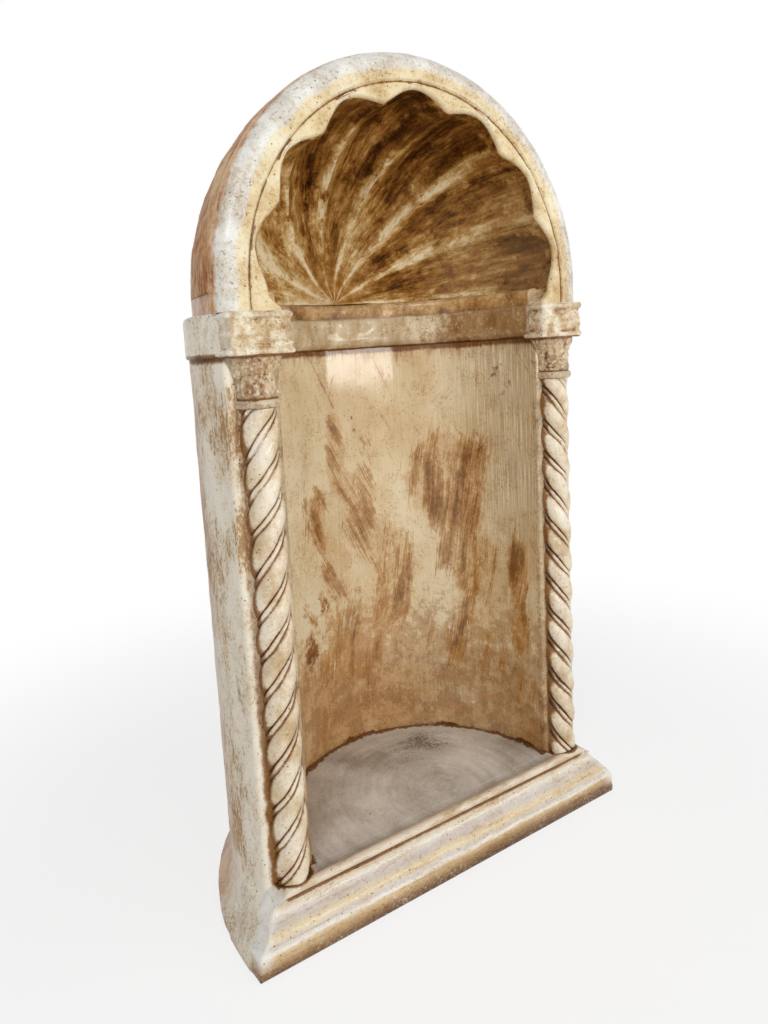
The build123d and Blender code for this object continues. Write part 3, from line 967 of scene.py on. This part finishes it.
# %% The rule of a twisted column
strand_rise = 44 * mm
strand_count = 3
groove_depth = 6.8 * mm
fillet_share = 0.22
thin_height = 0.62
shallow_floor = 0.45
wobble_scale, wobble_size = 14, 0.35
end_share = 0.0005
around_count, upward_count = 97, 620


def roll(share):
    """Height of a round roll over a share of its width, from 0 at the grooves to 1."""
    centred = share * 2 - 1
    inside = 1.001 - centred * centred
    return inside.maths("SQRT")


def column_tree():
    tree, start = new_tree("twisted_column", Radius=("Float", 0.02), Height=("Float", 0.5),
                           Rise=("Float", 0.04), Groove=("Float", 0.004), Hand=("Float", 1.0),
                           Phase=("Float", 0.0), Foot=("Vector", None), Finish=("Material", None))
    grid, turn, share = unit_grid(start, around_count, upward_count)
    height = share * start.also("Height")
    wobble = start.node("ShaderNodeTexNoise", {"noise_dimensions": "1D"}, {"W": height * wobble_scale,
                                                                     "Scale": 1.0})
    climb = height / start.also("Rise") + swing(wobble, wobble_size)
    strand = turn * start.also("Hand") * strand_count - climb + start.also("Phase")
    strand = strand.maths("FLOORED_MODULO", 1.0)
    fat_share = 1 - fillet_share
    fat = roll((strand / fat_share).maths("MINIMUM", 1.0))
    thin = roll(((strand - fat_share) / fillet_share).maths("MAXIMUM", 0.0))
    on_fat = strand.maths("LESS_THAN", fat_share)
    raised = on_fat * fat + (1 - on_fat) * thin * thin_height
    upper_edge = (strand.step(0.12, 0.0) + strand.step(0.9, 1.0)) * shallow_floor
    raised = raised.maths("MAXIMUM", upper_edge)
    end = share.step(0.0, end_share) * share.step(1.0, 1 - end_share)
    radius = (start.also("Radius") - (1 - raised) * start.also("Groove")) * end
    angle = turn * (2 * pi)
    spot = joined(radius * angle.maths("COSINE"), radius * angle.maths("SINE"), height)
    spot = spot.node("ShaderNodeVectorMath", {"operation": "ADD"}, {0: spot, 1: start.also("Foot")})
    bent_grid(grid, spot, start.also("Finish"), wax=(1 - raised) ** 1.3)
    return tree


twist_tree = column_tree()
print("tree", twist_tree.name, "has", len(twist_tree.nodes), "nodes")

# %% Paint and build the columns
back_paint, inner_paint, lower_paint = (jamb_y - 12 * mm, jamb_y - 3 * mm), (4 * mm, -18 * mm), (0.55, 0.2)
sides = (("left", -1), ("right", 1))
strand_phase = 0.3


def column_paint(place):
    x, y, z = parts(place)
    wash = noise(stretched(place, 1, 1, 0.7), 30, 5, 0.62)
    colour = ramp(wash, (0.34, 240, 232, 216), (0.5, 230, 217, 194), (0.62, 210, 188, 152),
                  (0.78, 186, 148, 100))
    inner = (absolute(x) - column_x).step(*inner_paint)
    groove = attribute(place, "wax")
    colour = glaze(noise(place, 38, 5, 0.7).step(0.5, 0.66) * 0.5, colour, thin_glaze)
    # the grooves darken as wax and as painted shade, more on the inner side of each column
    colour = glaze(groove.step(0.12, 0.8) * (0.5 + 0.3 * inner), colour, mid_brown)
    wax = groove * (0.16 + 0.5 * inner + 0.25 * z.step(*lower_paint))
    wax = wax * (0.3 + 1.4 * noise(place, 45, 5, 0.65))
    return colour, wax + y.step(*back_paint) * 0.5


column_finish = plaster("twisted_column_paint", column_paint, coat=0.3, stain=0.6, edge_wear_and_light=0.4)


def column(name, side):
    obj = new_object(name, bpy.data.meshes.new(name))
    foot = (side * column_x, jamb_y, floor_z - mm)
    run_tree(obj, twist_tree, Radius=column_radius, Height=ring_z - floor_z + seat, Rise=strand_rise,
             Groove=groove_depth, Hand=float(-side), Phase=strand_phase, Foot=foot, Finish=column_finish)
    outward(obj.data)
    keep(obj.data, "uneven", np.ones(len(obj.data.vertices)))
    return obj


for name, side in sides:
    piece = column(name + "_twisted_column", side)
    place_piece(piece, [name + "_column"], column_finish, lump=0.5 * mm, grain=0.25 * mm)

# %% [markdown]
# ## Rings, capitals and impost blocks
# Above each column sit a ring, a capital that opens like a bell with worn leaves, and an impost block
# with a lip above and below a roughly chiselled field. Each is an outline that changes with height,
# and its carving is a pattern of angle and height that is added to the outline.

# %% Paint the carved parts
bell_edge, side_edge, valley_shade_width = (impost_z + 2 * mm, impost_z - 4 * mm), 3 * mm, 5 * mm


def carved_paint(place):
    x, _, z = parts(place)
    wash = noise(place, 46, 5, 0.68)
    colour = ramp(wash, (0.38, 238, 230, 212), (0.48, 216, 198, 166), (0.58, 190, 160, 118),
                  (0.72, 140, 100, 56))
    bell = z.step(*bell_edge)
    dirty = mix(noise(place, 60, 5, 0.7).step(0.38, 0.62), tone(206, 184, 148), tone(146, 108, 68))
    colour = mix(bell * 0.8, colour, dirty)
    border = absolute(x) + swing(wash, 0.012)
    side = border.step(corner_x - side_edge, corner_x + side_edge) * (1 - bell)
    colour = mix(side, colour, weathered(place))
    # painted shade: a brown strip where the block's front meets its side
    valley_shade = absolute(border - corner_x).step(valley_shade_width, 0.0) * (1 - bell)
    colour = glaze(valley_shade * 0.5, colour, mid_brown)
    chips = noise(place, 170, 3, 0.7).step(0.55, 0.68)
    wax = ragged_wax(place, 0.35, 1.2, 70, 0.65) + chips * (0.12 + 0.16 * bell)
    return colour, wax


carved_finish = plaster("carved_stone_paint", carved_paint, grain=1.8, edge_wear_and_light=0.5, soak=0.42)

# %% Rings over the columns
ring_reach, ring_seat = 3.5 * mm, 2 * mm
ring_points, ring_levels = 72, 15


def upright_rows(middle, widths, depths, heights, count):
    """Ovals stacked upward about a column axis, with one width and depth for each height."""
    angles = np.linspace(0, 2 * pi, count, endpoint=False)
    rows = [np.column_stack([middle + wide * np.cos(angles), jamb_y + deep * np.sin(angles),
                             np.full(count, z)]) for wide, deep, z in zip(widths, depths, heights)]
    return np.array(rows)


for name, side in sides:
    turn = np.linspace(-pi / 2, pi / 2, ring_levels)
    bulge = column_radius - ring_seat + (ring_reach + ring_seat) * np.cos(turn) ** 0.7
    heights = (ring_z + capital_z) / 2 + (capital_z - ring_z) / 2 * np.sin(turn)
    rows = upright_rows(side * column_x, bulge, bulge, heights, ring_points)
    wax = ((1 - np.cos(turn)) ** 1.5)[:, None]
    piece = rows_mesh(name + "_column_ring", rows, wax)
    place_piece(piece, [name + "_astragal"], carved_finish, lump=0.7 * mm, grain=0.3 * mm)

# %% Capitals with worn leaves
capital_half_width = (high("right_capital").x - low("right_capital").x) / 2
capital_depth = jamb_y - low("right_capital").y
leaf_count = 6
leaf_relief = 1.8 * mm
bell_levels, bell_points = 44, 140
coarse_lumps, fine_lumps = (8, 26, 0.9 * mm), (17, 52, 0.35 * mm)
rng = np.random.default_rng(7)


def between_knots(knots, count):
    """Values along the first axis, eased from one knot to the next."""
    spot = np.linspace(0, len(knots) - 1, count)
    first = np.minimum(spot.astype(int), len(knots) - 2)
    share = ease(spot - first, 0, 1)[:, None]
    return knots[first] * (1 - share) + knots[first + 1] * share


def lumps(rows, columns, knots_up, knots_round, height):
    """Random lumps on a grid of rows that closes round."""
    knots = rng.normal(0, height, (knots_up, knots_round))
    knots = np.column_stack([knots, knots[:, :1]])
    return between_knots(between_knots(knots, rows).T, columns + 1)[:-1].T


for name, side in sides:
    share = np.linspace(0, 1, bell_levels)
    flare = 0.12 * ease(share, 0, 0.5) + 0.88 * ease(share, 0.3, 1.05) ** 1.2
    widths = column_radius + (capital_half_width - column_radius) * flare
    depths = column_radius + (capital_depth - column_radius) * flare
    heights = capital_z - mm + (impost_z - capital_z + 2 * mm) * share
    rows = upright_rows(side * column_x, widths, depths, heights, bell_points)
    angles = np.linspace(0, 2 * pi, bell_points, endpoint=False)[None, :]
    lean = share[:, None]
    leaf = np.abs(np.cos(angles * leaf_count / 2 + 0.5 * np.sin(lean * 6)))
    tip = ease(lean, 0.08, 0.5) * ease(lean, 1.0, 0.8)
    rough = lumps(bell_levels, bell_points, *coarse_lumps) + lumps(bell_levels, bell_points, *fine_lumps)
    relief = (leaf ** 0.8 - 0.8) * tip * leaf_relief + rough * ease(lean, 0, 0.15)
    away = rows - np.array([side * column_x, jamb_y, 0])
    away[..., 2] = 0
    rows += away / np.linalg.norm(away, axis=-1, keepdims=True) * relief[..., None]
    wax = (0.6 - leaf) * tip * 0.3 + ease(lean, 0.88, 1.0) * 0.7 + ease(lean, 0.1, 0.0) * 0.7
    piece = rows_mesh(name + "_leaf_capital", rows, wax)
    place_piece(piece, [name + "_capital"], carved_finish, lump=1.2 * mm, grain=0.5 * mm,
                grain_scale=150)

# %% Impost blocks
block_inner = low("right_abacus").x
block_outer = high("right_abacus").x
block_front = low("right_abacus").y
block_taper = 2 * mm
field_drop = 3.2 * mm
lip_height = 7 * mm
block_back = 6 * mm
block_round, block_step, block_levels = 6 * mm, 1.6 * mm, 38
lip_softness, edge_wear, edge_fall = 2 * mm, 3 * mm, 2.5 * mm
block_rise = spring_z - impost_z


def block_drop(share):
    """How far the face stands back at a share of the height: little at the lips, most in the field."""
    edge = np.minimum(share, 1 - share) * block_rise
    field = field_drop * ease(edge, lip_height - lip_softness, lip_height + lip_softness)
    return field + edge_fall * ease(edge, edge_wear, 0)


for name, side in sides:
    plan = rounded([(block_inner, block_back), (block_inner, block_front),
                    (block_outer - block_taper, block_front), (block_outer, jamb_y),
                    (block_outer, block_back)], block_round, block_step)
    middle = plan.mean(axis=0)
    inward = (middle - plan) / np.linalg.norm(middle - plan, axis=1, keepdims=True)
    shares = np.linspace(0, 1, block_levels)
    drop = block_drop(shares)[:, None]
    field = np.clip(drop / field_drop, 0.2, 1)
    drop = drop + lumps(block_levels, len(plan), 9, len(plan) // 8, 1.0 * mm) * field
    drop = drop + lumps(block_levels, len(plan), 15, len(plan) // 6, 0.4 * mm) * field
    loops = plan[None] + inward[None] * drop[..., None]
    heights = np.broadcast_to((impost_z + block_rise * shares)[:, None], drop.shape)
    rows = np.dstack([loops * (side, 1), heights])
    wax = 0.8 * ease(shares, 0.05, 0.0)[:, None] + 0.12 * field
    piece = rows_mesh(name + "_impost_block", rows, wax)
    place_piece(piece, [name + "_abacus"], carved_finish, lump=1.0 * mm, grain=0.5 * mm,
                grain_scale=140)

# %% [markdown]
# ## Impost band and shell ledge
# A plain band runs round the hollow between the two blocks, and over it a ledge carries the shell.
# Both are one profile carried round the half circle.

# %% Paint the band and the ledge
band_back = (hollow_radius + 20 * mm, hollow_radius + 40 * mm)
ledge_back = (hollow_radius + 30 * mm, hollow_radius + 10 * mm)


def band_paint(place):
    x, y, z = parts(place)
    angle = y.maths("ARCTAN2", x)
    wash = drawn(angle * 9, z * 20, 3.0, 5, 0.62)
    colour = ramp(wash, (0.34, 220, 204, 174), (0.5, 198, 176, 140), (0.64, 176, 144, 98),
                  (0.8, 163, 116, 64))
    stain = angle.step(radians(70), radians(15)) * 0.3 + drawn(angle * 16, z * 60, 0.0, 5, 0.7)
    colour = glaze(stain.step(0.58, 0.74) * 0.85, colour, mid_brown)
    colour = mix(length(x, y).step(*band_back), colour, weathered(place))
    return colour, ragged_wax(place, 0.5, 1.0, 60, 0.65)


def ledge_paint(place):
    x, y, z = parts(place)
    colour, wax = band_paint(place)
    inside = length(x, y).step(*ledge_back)
    clouds = noise(place, 42, 6, 0.72) + (z - centre_z) * 6
    gold = ramp(clouds, (0.28, 120, 78, 34), (0.40, 172, 126, 66), (0.52, 206, 168, 108),
                (0.64, 230, 206, 160))
    return mix(inside, old_side(place), mix(inside * 0.85, colour, gold)), wax


band_finish = plaster("band_paint", band_paint, coat=0.4, stain=0.45)
ledge_finish = plaster("ledge_paint", ledge_paint, coat=0.4, stain=0.5)

# %% Build the band and the ledge
band_inner = hollow_radius - 13 * mm
band_outer = high("impost_band_3").y
band_corner = corner_x + band_outer - outer_radius
band_start, band_end = radians(-1.4), radians(181.4)
cove_height, band_round, band_foot_dark = 10 * mm, 4 * mm, 7 * mm
band_step, ledge_step, sweep_step = 2.5 * mm, 2 * mm, 4 * mm
ledge_inner, ledge_round = hollow_radius - 5 * mm, 8 * mm
rough_from, rough_to = 235 * mm, 250 * mm


def round_sweep(profile, start, end, corner):
    """A closed profile of radius and height carried round the niche axis, with the straighter sides."""
    angles = np.linspace(start, end, int((end - start) * outer_radius / sweep_step))
    widest = profile[:, 0].max()
    rows = []
    for angle in angles:
        limit = side_radius(np.array(angle), widest, corner)
        radius = np.minimum(profile[:, 0], limit)
        rows.append(np.column_stack([radius * np.cos(angle), radius * np.sin(angle), profile[:, 1]]))
    return np.array(rows)


band_profile = rounded([(band_outer, impost_z), (band_outer, spring_z), (band_inner, spring_z),
                        (band_inner, impost_z + cove_height), (hollow_radius + seat, impost_z)],
                       band_round, band_step)
band_rows = round_sweep(band_profile, band_start, band_end, band_corner)
# darker along the foot of the band
band = rows_mesh("impost_band", band_rows, ease(band_profile[:, 1], impost_z + band_foot_dark, impost_z))
place_piece(band, numbered("impost_band", 5), band_finish, lump=1.0 * mm)

ledge_nose = arc((ledge_inner + ledge_round, centre_z - ledge_round), ledge_round, pi / 2, pi, mm)
ledge_profile = even_loop(np.vstack([[(dome_radius, spring_z - seat), (dome_radius, centre_z + seat)],
                                     ledge_nose, [(ledge_inner, spring_z - seat)]]), ledge_step)
ledge_rows = round_sweep(ledge_profile, 0, pi, dome_radius)
ledge_uneven = 1 + ease(np.hypot(ledge_rows[..., 0], ledge_rows[..., 1]), rough_from, rough_to)
ledge = rows_mesh("shell_ledge", ledge_rows, 0.0, ledge_uneven)
place_piece(ledge, numbered("shell_sill", 3), ledge_finish, lump=1.2 * mm)

# %% [markdown]
# ## Arch
# The arch is a rounded band with an incised line and a scalloped inner rim. Its profile changes along
# the way only at the rim, which follows seven scallops. Two short upright legs carry it down to the
# blocks.

# %% Paint the arch
shoulder_sky_light = (groove_radius + 10 * mm, groove_radius + 18 * mm)
side_paint, side_depth = (groove_radius + 15 * mm, groove_radius + 30 * mm), (-14 * mm, -8 * mm)


def arch_paint(place):
    x, y, z = parts(place)
    up = (z - centre_z).maths("MAXIMUM", 0.0)
    radius = length(x, up)
    wash = noise(place, 22, 6, 0.64)
    face = ramp(wash, (0.34, 238, 228, 202), (0.5, 228, 210, 168), (0.63, 208, 180, 130),
                (0.8, 176, 138, 88))
    # painted sky light: the outer roundover, which turns up and out, is pale grey white
    grey = mix(wash.step(0.42, 0.62), tone(238, 240, 240), tone(210, 206, 200))
    face = mix((radius + swing(wash, 0.03)).step(*shoulder_sky_light) * 0.85, face, grey)
    outer = (y + swing(wash, 0.016)).step(*side_depth) * radius.step(*side_paint)
    face = mix(outer, face, old_side(place))
    crackle = noise(place, 230, 3, 0.66) + swing(wash, 0.4)
    face = glaze(crackle.step(0.58, 0.70) * 0.7, face, mid_brown)
    return face, ragged_wax(place, 0.4, 1.0, 50, 0.62)


arch_finish = plaster("arch_paint", arch_paint, coat=0.2, gloss=0.2, stain=0.5, edge_wear_and_light=0.25, soak=0.4)

# %% Build the arch and its scalloped rim
scallop_count = 7
rim_width = 6 * mm
scallop_depth = 15 * mm
point_power = 0.72
rim_front = arch_front + mm
arch_round = 22 * mm
line_width = 2.6 * mm
line_depth = 2.0 * mm
leg_flare = 15 * mm
edge_round = 5 * mm
arch_back, reveal_start, face_start = 0.5 * mm, -4 * mm, 0.4 * mm
line_end, band_begin = 0.6 * mm, 3 * mm
leg_steps, arch_steps = 9, 330
face_points, band_points, back_points, reveal_points = 7, 6, 12, 5
line_wax, hidden_wax, hidden_uneven = (0.16, 0.26, 0.0), 0.3, 0.1
lobe_radius = groove_radius - rim_width


def rim_radius(angle):
    """Inner edge of the rim: scallops with rounded points between them."""
    wave = (1 - np.cos(2 * scallop_count * angle)) / 2
    return lobe_radius - scallop_depth * (1 - wave ** point_power)


def arch_profile(inner):
    """Radius and depth once round the section, its wax and how uneven it is."""
    shoulder = dome_radius - arch_round
    edge = arc((inner + edge_round, rim_front + edge_round), edge_round, -pi, -pi / 2, mm)
    face = np.linspace((inner + edge_round + face_start, rim_front),
                       (groove_radius - line_width, rim_front), face_points)
    line = [(groove_radius - line_width / 2, rim_front + line_depth * 0.7),
            (groove_radius, rim_front + line_depth), (groove_radius + line_width, arch_front + line_end)]
    band = np.linspace((groove_radius + band_begin, arch_front), (shoulder, arch_front), band_points)
    nose = arc((shoulder, arch_front + arch_round), arch_round, -pi / 2, 0, 2 * mm)
    back = np.linspace((dome_radius, arch_back), (inner, arch_back), back_points)
    reveal = np.linspace((inner, reveal_start), (inner, rim_front + edge_round + mm), reveal_points)
    points = np.vstack([edge, face, line, band, nose, back, reveal])
    hidden = len(back) + len(reveal)
    wax = np.concatenate([np.zeros(len(edge) + len(face)), line_wax,
                          np.zeros(len(band) + len(nose)), np.full(hidden, hidden_wax)])
    uneven = np.ones(len(points))
    uneven[-hidden:] = hidden_uneven
    return points, wax, uneven


def arch_rows():
    """Rows of points from the right leg round to the left one, with wax and unevenness."""
    legs = np.linspace(centre_z - spring_z, 0, leg_steps)[:-1]
    turns = np.linspace(0, pi, arch_steps)
    stops = [(0, drop) for drop in legs] + [(turn, 0) for turn in turns] + [(pi, drop) for drop in legs[::-1]]
    rows, wax, uneven = [], [], []
    for turn, drop in stops:
        flare = leg_flare * ease(drop, 0, legs[0]) ** 1.5
        points, mask, lively = arch_profile(rim_radius(turn) - flare)
        rows.append(np.column_stack([points[:, 0] * np.cos(turn), points[:, 1],
                                     centre_z - drop + points[:, 0] * np.sin(turn)]))
        wax.append(mask)
        uneven.append(lively)
    return np.array(rows), np.array(wax), np.array(uneven)


arch = rows_mesh("scalloped_arch", *arch_rows())
arch_nodes = [side + part for side in ("left_", "crown_", "right_")
              for part in ("arch_band", "scalloped_rim")]
place_piece(arch, arch_nodes, arch_finish, lump=1.0 * mm, grain=0.3 * mm)

# %% [markdown]
# ## Shell
# The half dome follows a rule too. A flat grid is bent by Geometry Nodes: across the grid runs the
# angle round the arch, and along it the way from the hinge out to the rim, forward under the rim, and
# back over the plain outside to the rear. The inner radius takes the same scallops as the rim, and
# noise that hardly changes along the way carves streaks into the flutes.

# %% The rule of the shell
hinge_bulge = 11 * mm
hinge_width = 24 * mm
streak_depth = 1.6 * mm
dome_share, reveal_share = 0.56, 0.06
reveal_gap = 1.6 * mm
gap_reach = (0.86, 0.97)
rim_reach, streak_reach = (1.0, 0.8), (1.0, 0.85)
ridge_wander = 0.10
ridge_sharpness = 0.27
flute_swell = 0.45
shell_around, shell_along = 421, 200


def within(value, limit):
    """Value from 0 to a limit."""
    return value.node("ShaderNodeClamp", {}, {"Value": value, "Min": 0.0, "Max": limit})


def shell_tree():
    tree, start = new_tree("fluted_shell", Lobe=("Float", 0.2), Scallop=("Float", 0.01),
                           Depth=("Float", 0.2), Reveal=("Float", 0.02), Outside=("Float", 0.25),
                           Streak=("Float", 0.002), Height=("Float", 0.7), Finish=("Material", None))
    grid, across, way = unit_grid(start, shell_around, shell_along)
    turn = across * pi
    front_share = dome_share + reveal_share
    inside = way.maths("LESS_THAN", front_share)
    inward = within(way / dome_share, 1.0) * (pi / 2)
    forward = within((way - dome_share) / (reveal_share * 0.9), 1.0)
    reach = inward.maths("SINE")
    within_rim = reach.step(*rim_reach)
    wander = start.node("ShaderNodeTexNoise", {}, {"Vector": joined(turn * 5, reach * 3, 4.0), "Scale": 1.0,
                                                   "Detail": 2.0})
    waves = (turn + (wander - 0.5) * ridge_wander * within_rim) * (2 * scallop_count)
    wave = (1 - waves.maths("COSINE")) / 2
    streaks = start.node("ShaderNodeTexNoise", {}, {"Vector": joined(turn * 12, reach * 2.2), "Scale": 1.0,
                                                    "Detail": 3.0, "Roughness": 0.55})
    hollowed = 1 - wave ** (point_power - ridge_sharpness * within_rim)
    rim = start.also("Lobe") - start.also("Scallop") * (1 + flute_swell * within_rim) * hollowed
    carved = (streaks - 0.5) * start.also("Streak") * 2 * reach.step(*streak_reach)
    inner = reach * (rim + carved) - reach.step(*gap_reach) * reveal_gap
    near = (inner / hinge_width) * (inner / hinge_width) * -1
    boss = near.maths("EXPONENT") * hinge_bulge
    deep = inward.maths("COSINE") * start.also("Depth") - boss - forward * start.also("Reveal")
    outward_way = within((1 - way) / (1 - front_share), 1.0) * (pi / 2)
    outer = outward_way.maths("SINE") * start.also("Outside")
    rear = outward_way.maths("COSINE") * start.also("Outside")
    radius = inside * inner + (1 - inside) * outer
    depth = inside * deep + (1 - inside) * rear
    spot = joined(radius * turn.maths("COSINE"), depth,
                  radius * turn.maths("SINE") + start.also("Height"))
    bent_grid(grid, spot, start.also("Finish"), crest=1 - wave, reach=reach + forward * 0.12,
              inside=inside, turn=turn)
    return tree


flute_tree = shell_tree()
print("tree", flute_tree.name, "has", len(flute_tree.nodes), "nodes")

# %% Paint the shell


def shell_paint(place):
    crest = attribute(place, "crest")
    reach = attribute(place, "reach")
    inside = attribute(place, "inside")
    turn = attribute(place, "turn")
    near = reach.step(0.45, 0.14)
    patches = noise(place, 20, 6, 0.72)
    clumps = noise(place, 75, 5, 0.72)
    smear = drawn(turn * 7, reach * 3.4, patches * 1.6, 6, 0.68)
    flecks = drawn(turn * 30, reach * 12, patches * 3, 5, 0.7)
    left_low = turn.step(radians(112), radians(160))
    right_low = turn.step(radians(55), radians(10))
    # painted shade: the upper flutes of the half dome face down and are made darker
    top = turn.step(radians(35), radians(70)) * turn.step(radians(150), radians(110)) * reach.step(0.45, 0.9)
    ridge = crest ** 9 * noise(place, 28, 5, 0.7).step(0.36, 0.56) * reach.step(1.03, 0.88)
    streaky = swing(smear, 1.15) + swing(flecks, 0.75)
    # crest ** 2 is painted shading of the flutes: ridges lighter, valleys darker
    light = ridge * 0.34 + crest ** 2 * 0.08 + streaky * (1 - near * 0.8) + swing(patches, 0.7) + 0.48
    light = light + (clumps - 0.5) * (0.35 + 0.4 * near) + near * 0.06
    light = light + left_low * 0.14 - right_low * 0.05 - top * 0.14 - reach.step(0.9, 1.02) * 0.08
    colour = ramp(light, (0.14, 58, 31, 8), (0.28, 92, 55, 18), (0.40, 134, 90, 38),
                  (0.52, 168, 124, 66), (0.66, 204, 172, 116), (0.84, 238, 222, 188))
    colour = mix(reach.step(0.34, 0.06) * 0.25, colour, tone(176, 112, 48))
    colour = mix(right_low * reach.step(0.5, 0.9) * 0.25, colour, tone(160, 138, 108))
    colour = mix(inside, old_side(place), colour)
    wax = inside * (0.62 - light).step(0.1, 0.6) * 0.3
    return colour, wax


shell_finish = plaster("fluted_shell_paint", shell_paint, coat=0.0, gloss=0.04, stain=0.45, edge_wear_and_light=0.0,
                       pale=0.0)

# %% Build the shell
calm_front, calm_share = (-20 * mm, 10 * mm), 0.35
shell = new_object("fluted_shell", bpy.data.meshes.new("fluted_shell"))
run_tree(shell, flute_tree, Lobe=lobe_radius, Scallop=scallop_depth, Depth=hollow_radius,
         Reveal=-(rim_front + edge_round), Outside=dome_radius, Streak=streak_depth, Height=centre_z,
         Finish=shell_finish)
outward(shell.data)
spots = vectors(shell.data.vertices)
away = np.hypot(np.hypot(spots[:, 0], spots[:, 1]), spots[:, 2] - centre_z)
shell_uneven = calm_share + (1 - calm_share) * ease(spots[:, 1], *calm_front)
keep(shell.data, "uneven", shell_uneven * (1 + ease(away, rough_from, rough_to)))
place_piece(shell, numbered("shell_flute", 7) + ["shell_hinge"], shell_finish, lump=1.2 * mm,
            grain=0.35 * mm)

# %% [markdown]
# ## Floor, light and camera
# A pale floor takes a soft shadow and turns plain white away from the niche. A large soft lamp stands
# above on the left, a long low one in front gives the bright patch on the glossy wall, a weak one
# stands on the right, and the white surroundings fill in. The camera stands close by, a little above
# the middle, as a person would.

# %% A pale floor and white surroundings
surround_light = 0.30
white = (1.0, 1.0, 1.0, 1.0)
floor_grey = (0.9, 0.9, 0.9, 1.0)
shadow_reach, shadow_share = (0.45, 1.3), 0.25
ground_half = 30.0


def camera_sees(place):
    """1 for rays from the camera, mirror rays and rays through glass."""
    path = place.node("ShaderNodeLightPath")
    seen = path + path.also("Is Glossy Ray") + path.also("Is Transmission Ray")
    return seen.maths("MINIMUM", 1.0)


def pale_floor():
    material = bpy.data.materials.new("pale_floor")
    place = blank(material).node("ShaderNodeTexCoord", output="Object")
    x, y = parts(place)[:2]
    away = length(x, y).step(*shadow_reach)
    matt = place.node("ShaderNodeBsdfDiffuse", {}, {"Color": floor_grey})
    glowing = place.node("ShaderNodeEmission", {}, {"Color": white, "Strength": 1.0})
    factor = camera_sees(place) * (1 - shadow_share + shadow_share * away)
    both = place.node("ShaderNodeMixShader", {}, {0: factor, 1: matt, 2: glowing})
    place.node("ShaderNodeOutputMaterial", {}, {"Surface": both})
    return material


ground = bpy.data.meshes.new("ground")
corners = [(x * ground_half, y * ground_half, 0) for x, y in ((-1, -1), (1, -1), (1, 1), (-1, 1))]
ground.from_pydata(corners, [], [(0, 1, 2, 3)])
ground.materials.append(pale_floor())
ground_object = new_object("ground", ground)

world = bpy.data.worlds.new("surroundings")
sky = blank(world)
seen = camera_sees(sky)
glow = sky.node("ShaderNodeBackground", {}, {"Color": white,
                                             "Strength": seen * (1 - surround_light) + surround_light})
sky.node("ShaderNodeOutputWorld", {}, {"Surface": glow})
bpy.context.scene.world = world
print("surroundings light the niche at", surround_light)

# %% Lamps


def lamp(name, place, aim, width, height, power, tint=(1.0, 1.0, 1.0)):
    """A flat lamp that looks at a point. Sizes are metres, power is watts."""
    light = bpy.data.lights.new(name, "AREA")
    light.shape = "RECTANGLE"
    light.size = width
    light.size_y = height
    light.energy = power
    light.color = tint
    turned = (Vector(aim) - Vector(place)).to_track_quat("-Z", "Y").to_matrix().to_4x4()
    new_object(name, light).matrix_world = Matrix.Translation(place) @ turned


middle_of_niche = (0, 0, 0.5)
lamp("soft_top_left", place=(-1.5, -1.55, 2.0), aim=middle_of_niche, width=0.9, height=0.9, power=25,
     tint=(0.97, 0.985, 1.0))
lamp("long_front", place=(0.43, -2.0, 0.60), aim=(0, 0, 0.6), width=2.3, height=0.17, power=18,
     tint=(1.0, 0.97, 0.90))
lamp("weak_right", place=(1.8, -1.2, 1.4), aim=middle_of_niche, width=0.8, height=0.8, power=7)
print("three lamps")

# %% Camera
image_width, image_height = 768, 1024
camera_place = (-0.5433, -0.6852, 0.6573)
yaw, pitch, bank = radians(30.522), radians(7.299), radians(-3.632)
focal_pixels = 715.55
principal = (323.53, 446.19)
sensor_width = 36.0
nearest = 10 * mm
lens = bpy.data.cameras.new("camera")
lens.sensor_width = sensor_width
lens.lens = focal_pixels / image_height * lens.sensor_width
lens.shift_x = (image_width / 2 - principal[0]) / image_height
lens.shift_y = (principal[1] - image_height / 2) / image_height
lens.clip_start = nearest
camera = new_object("camera", lens)
camera.matrix_world = (Matrix.Translation(camera_place) @ Matrix.Rotation(-yaw, 4, "Z")
                       @ Matrix.Rotation(pi / 2 - pitch, 4, "X") @ Matrix.Rotation(bank, 4, "Z"))
bpy.context.scene.camera = camera
bpy.context.scene.view_settings.view_transform = "Standard"
print("lens", round(lens.lens, 2), "mm, shift", round(lens.shift_x, 4), round(lens.shift_y, 4))
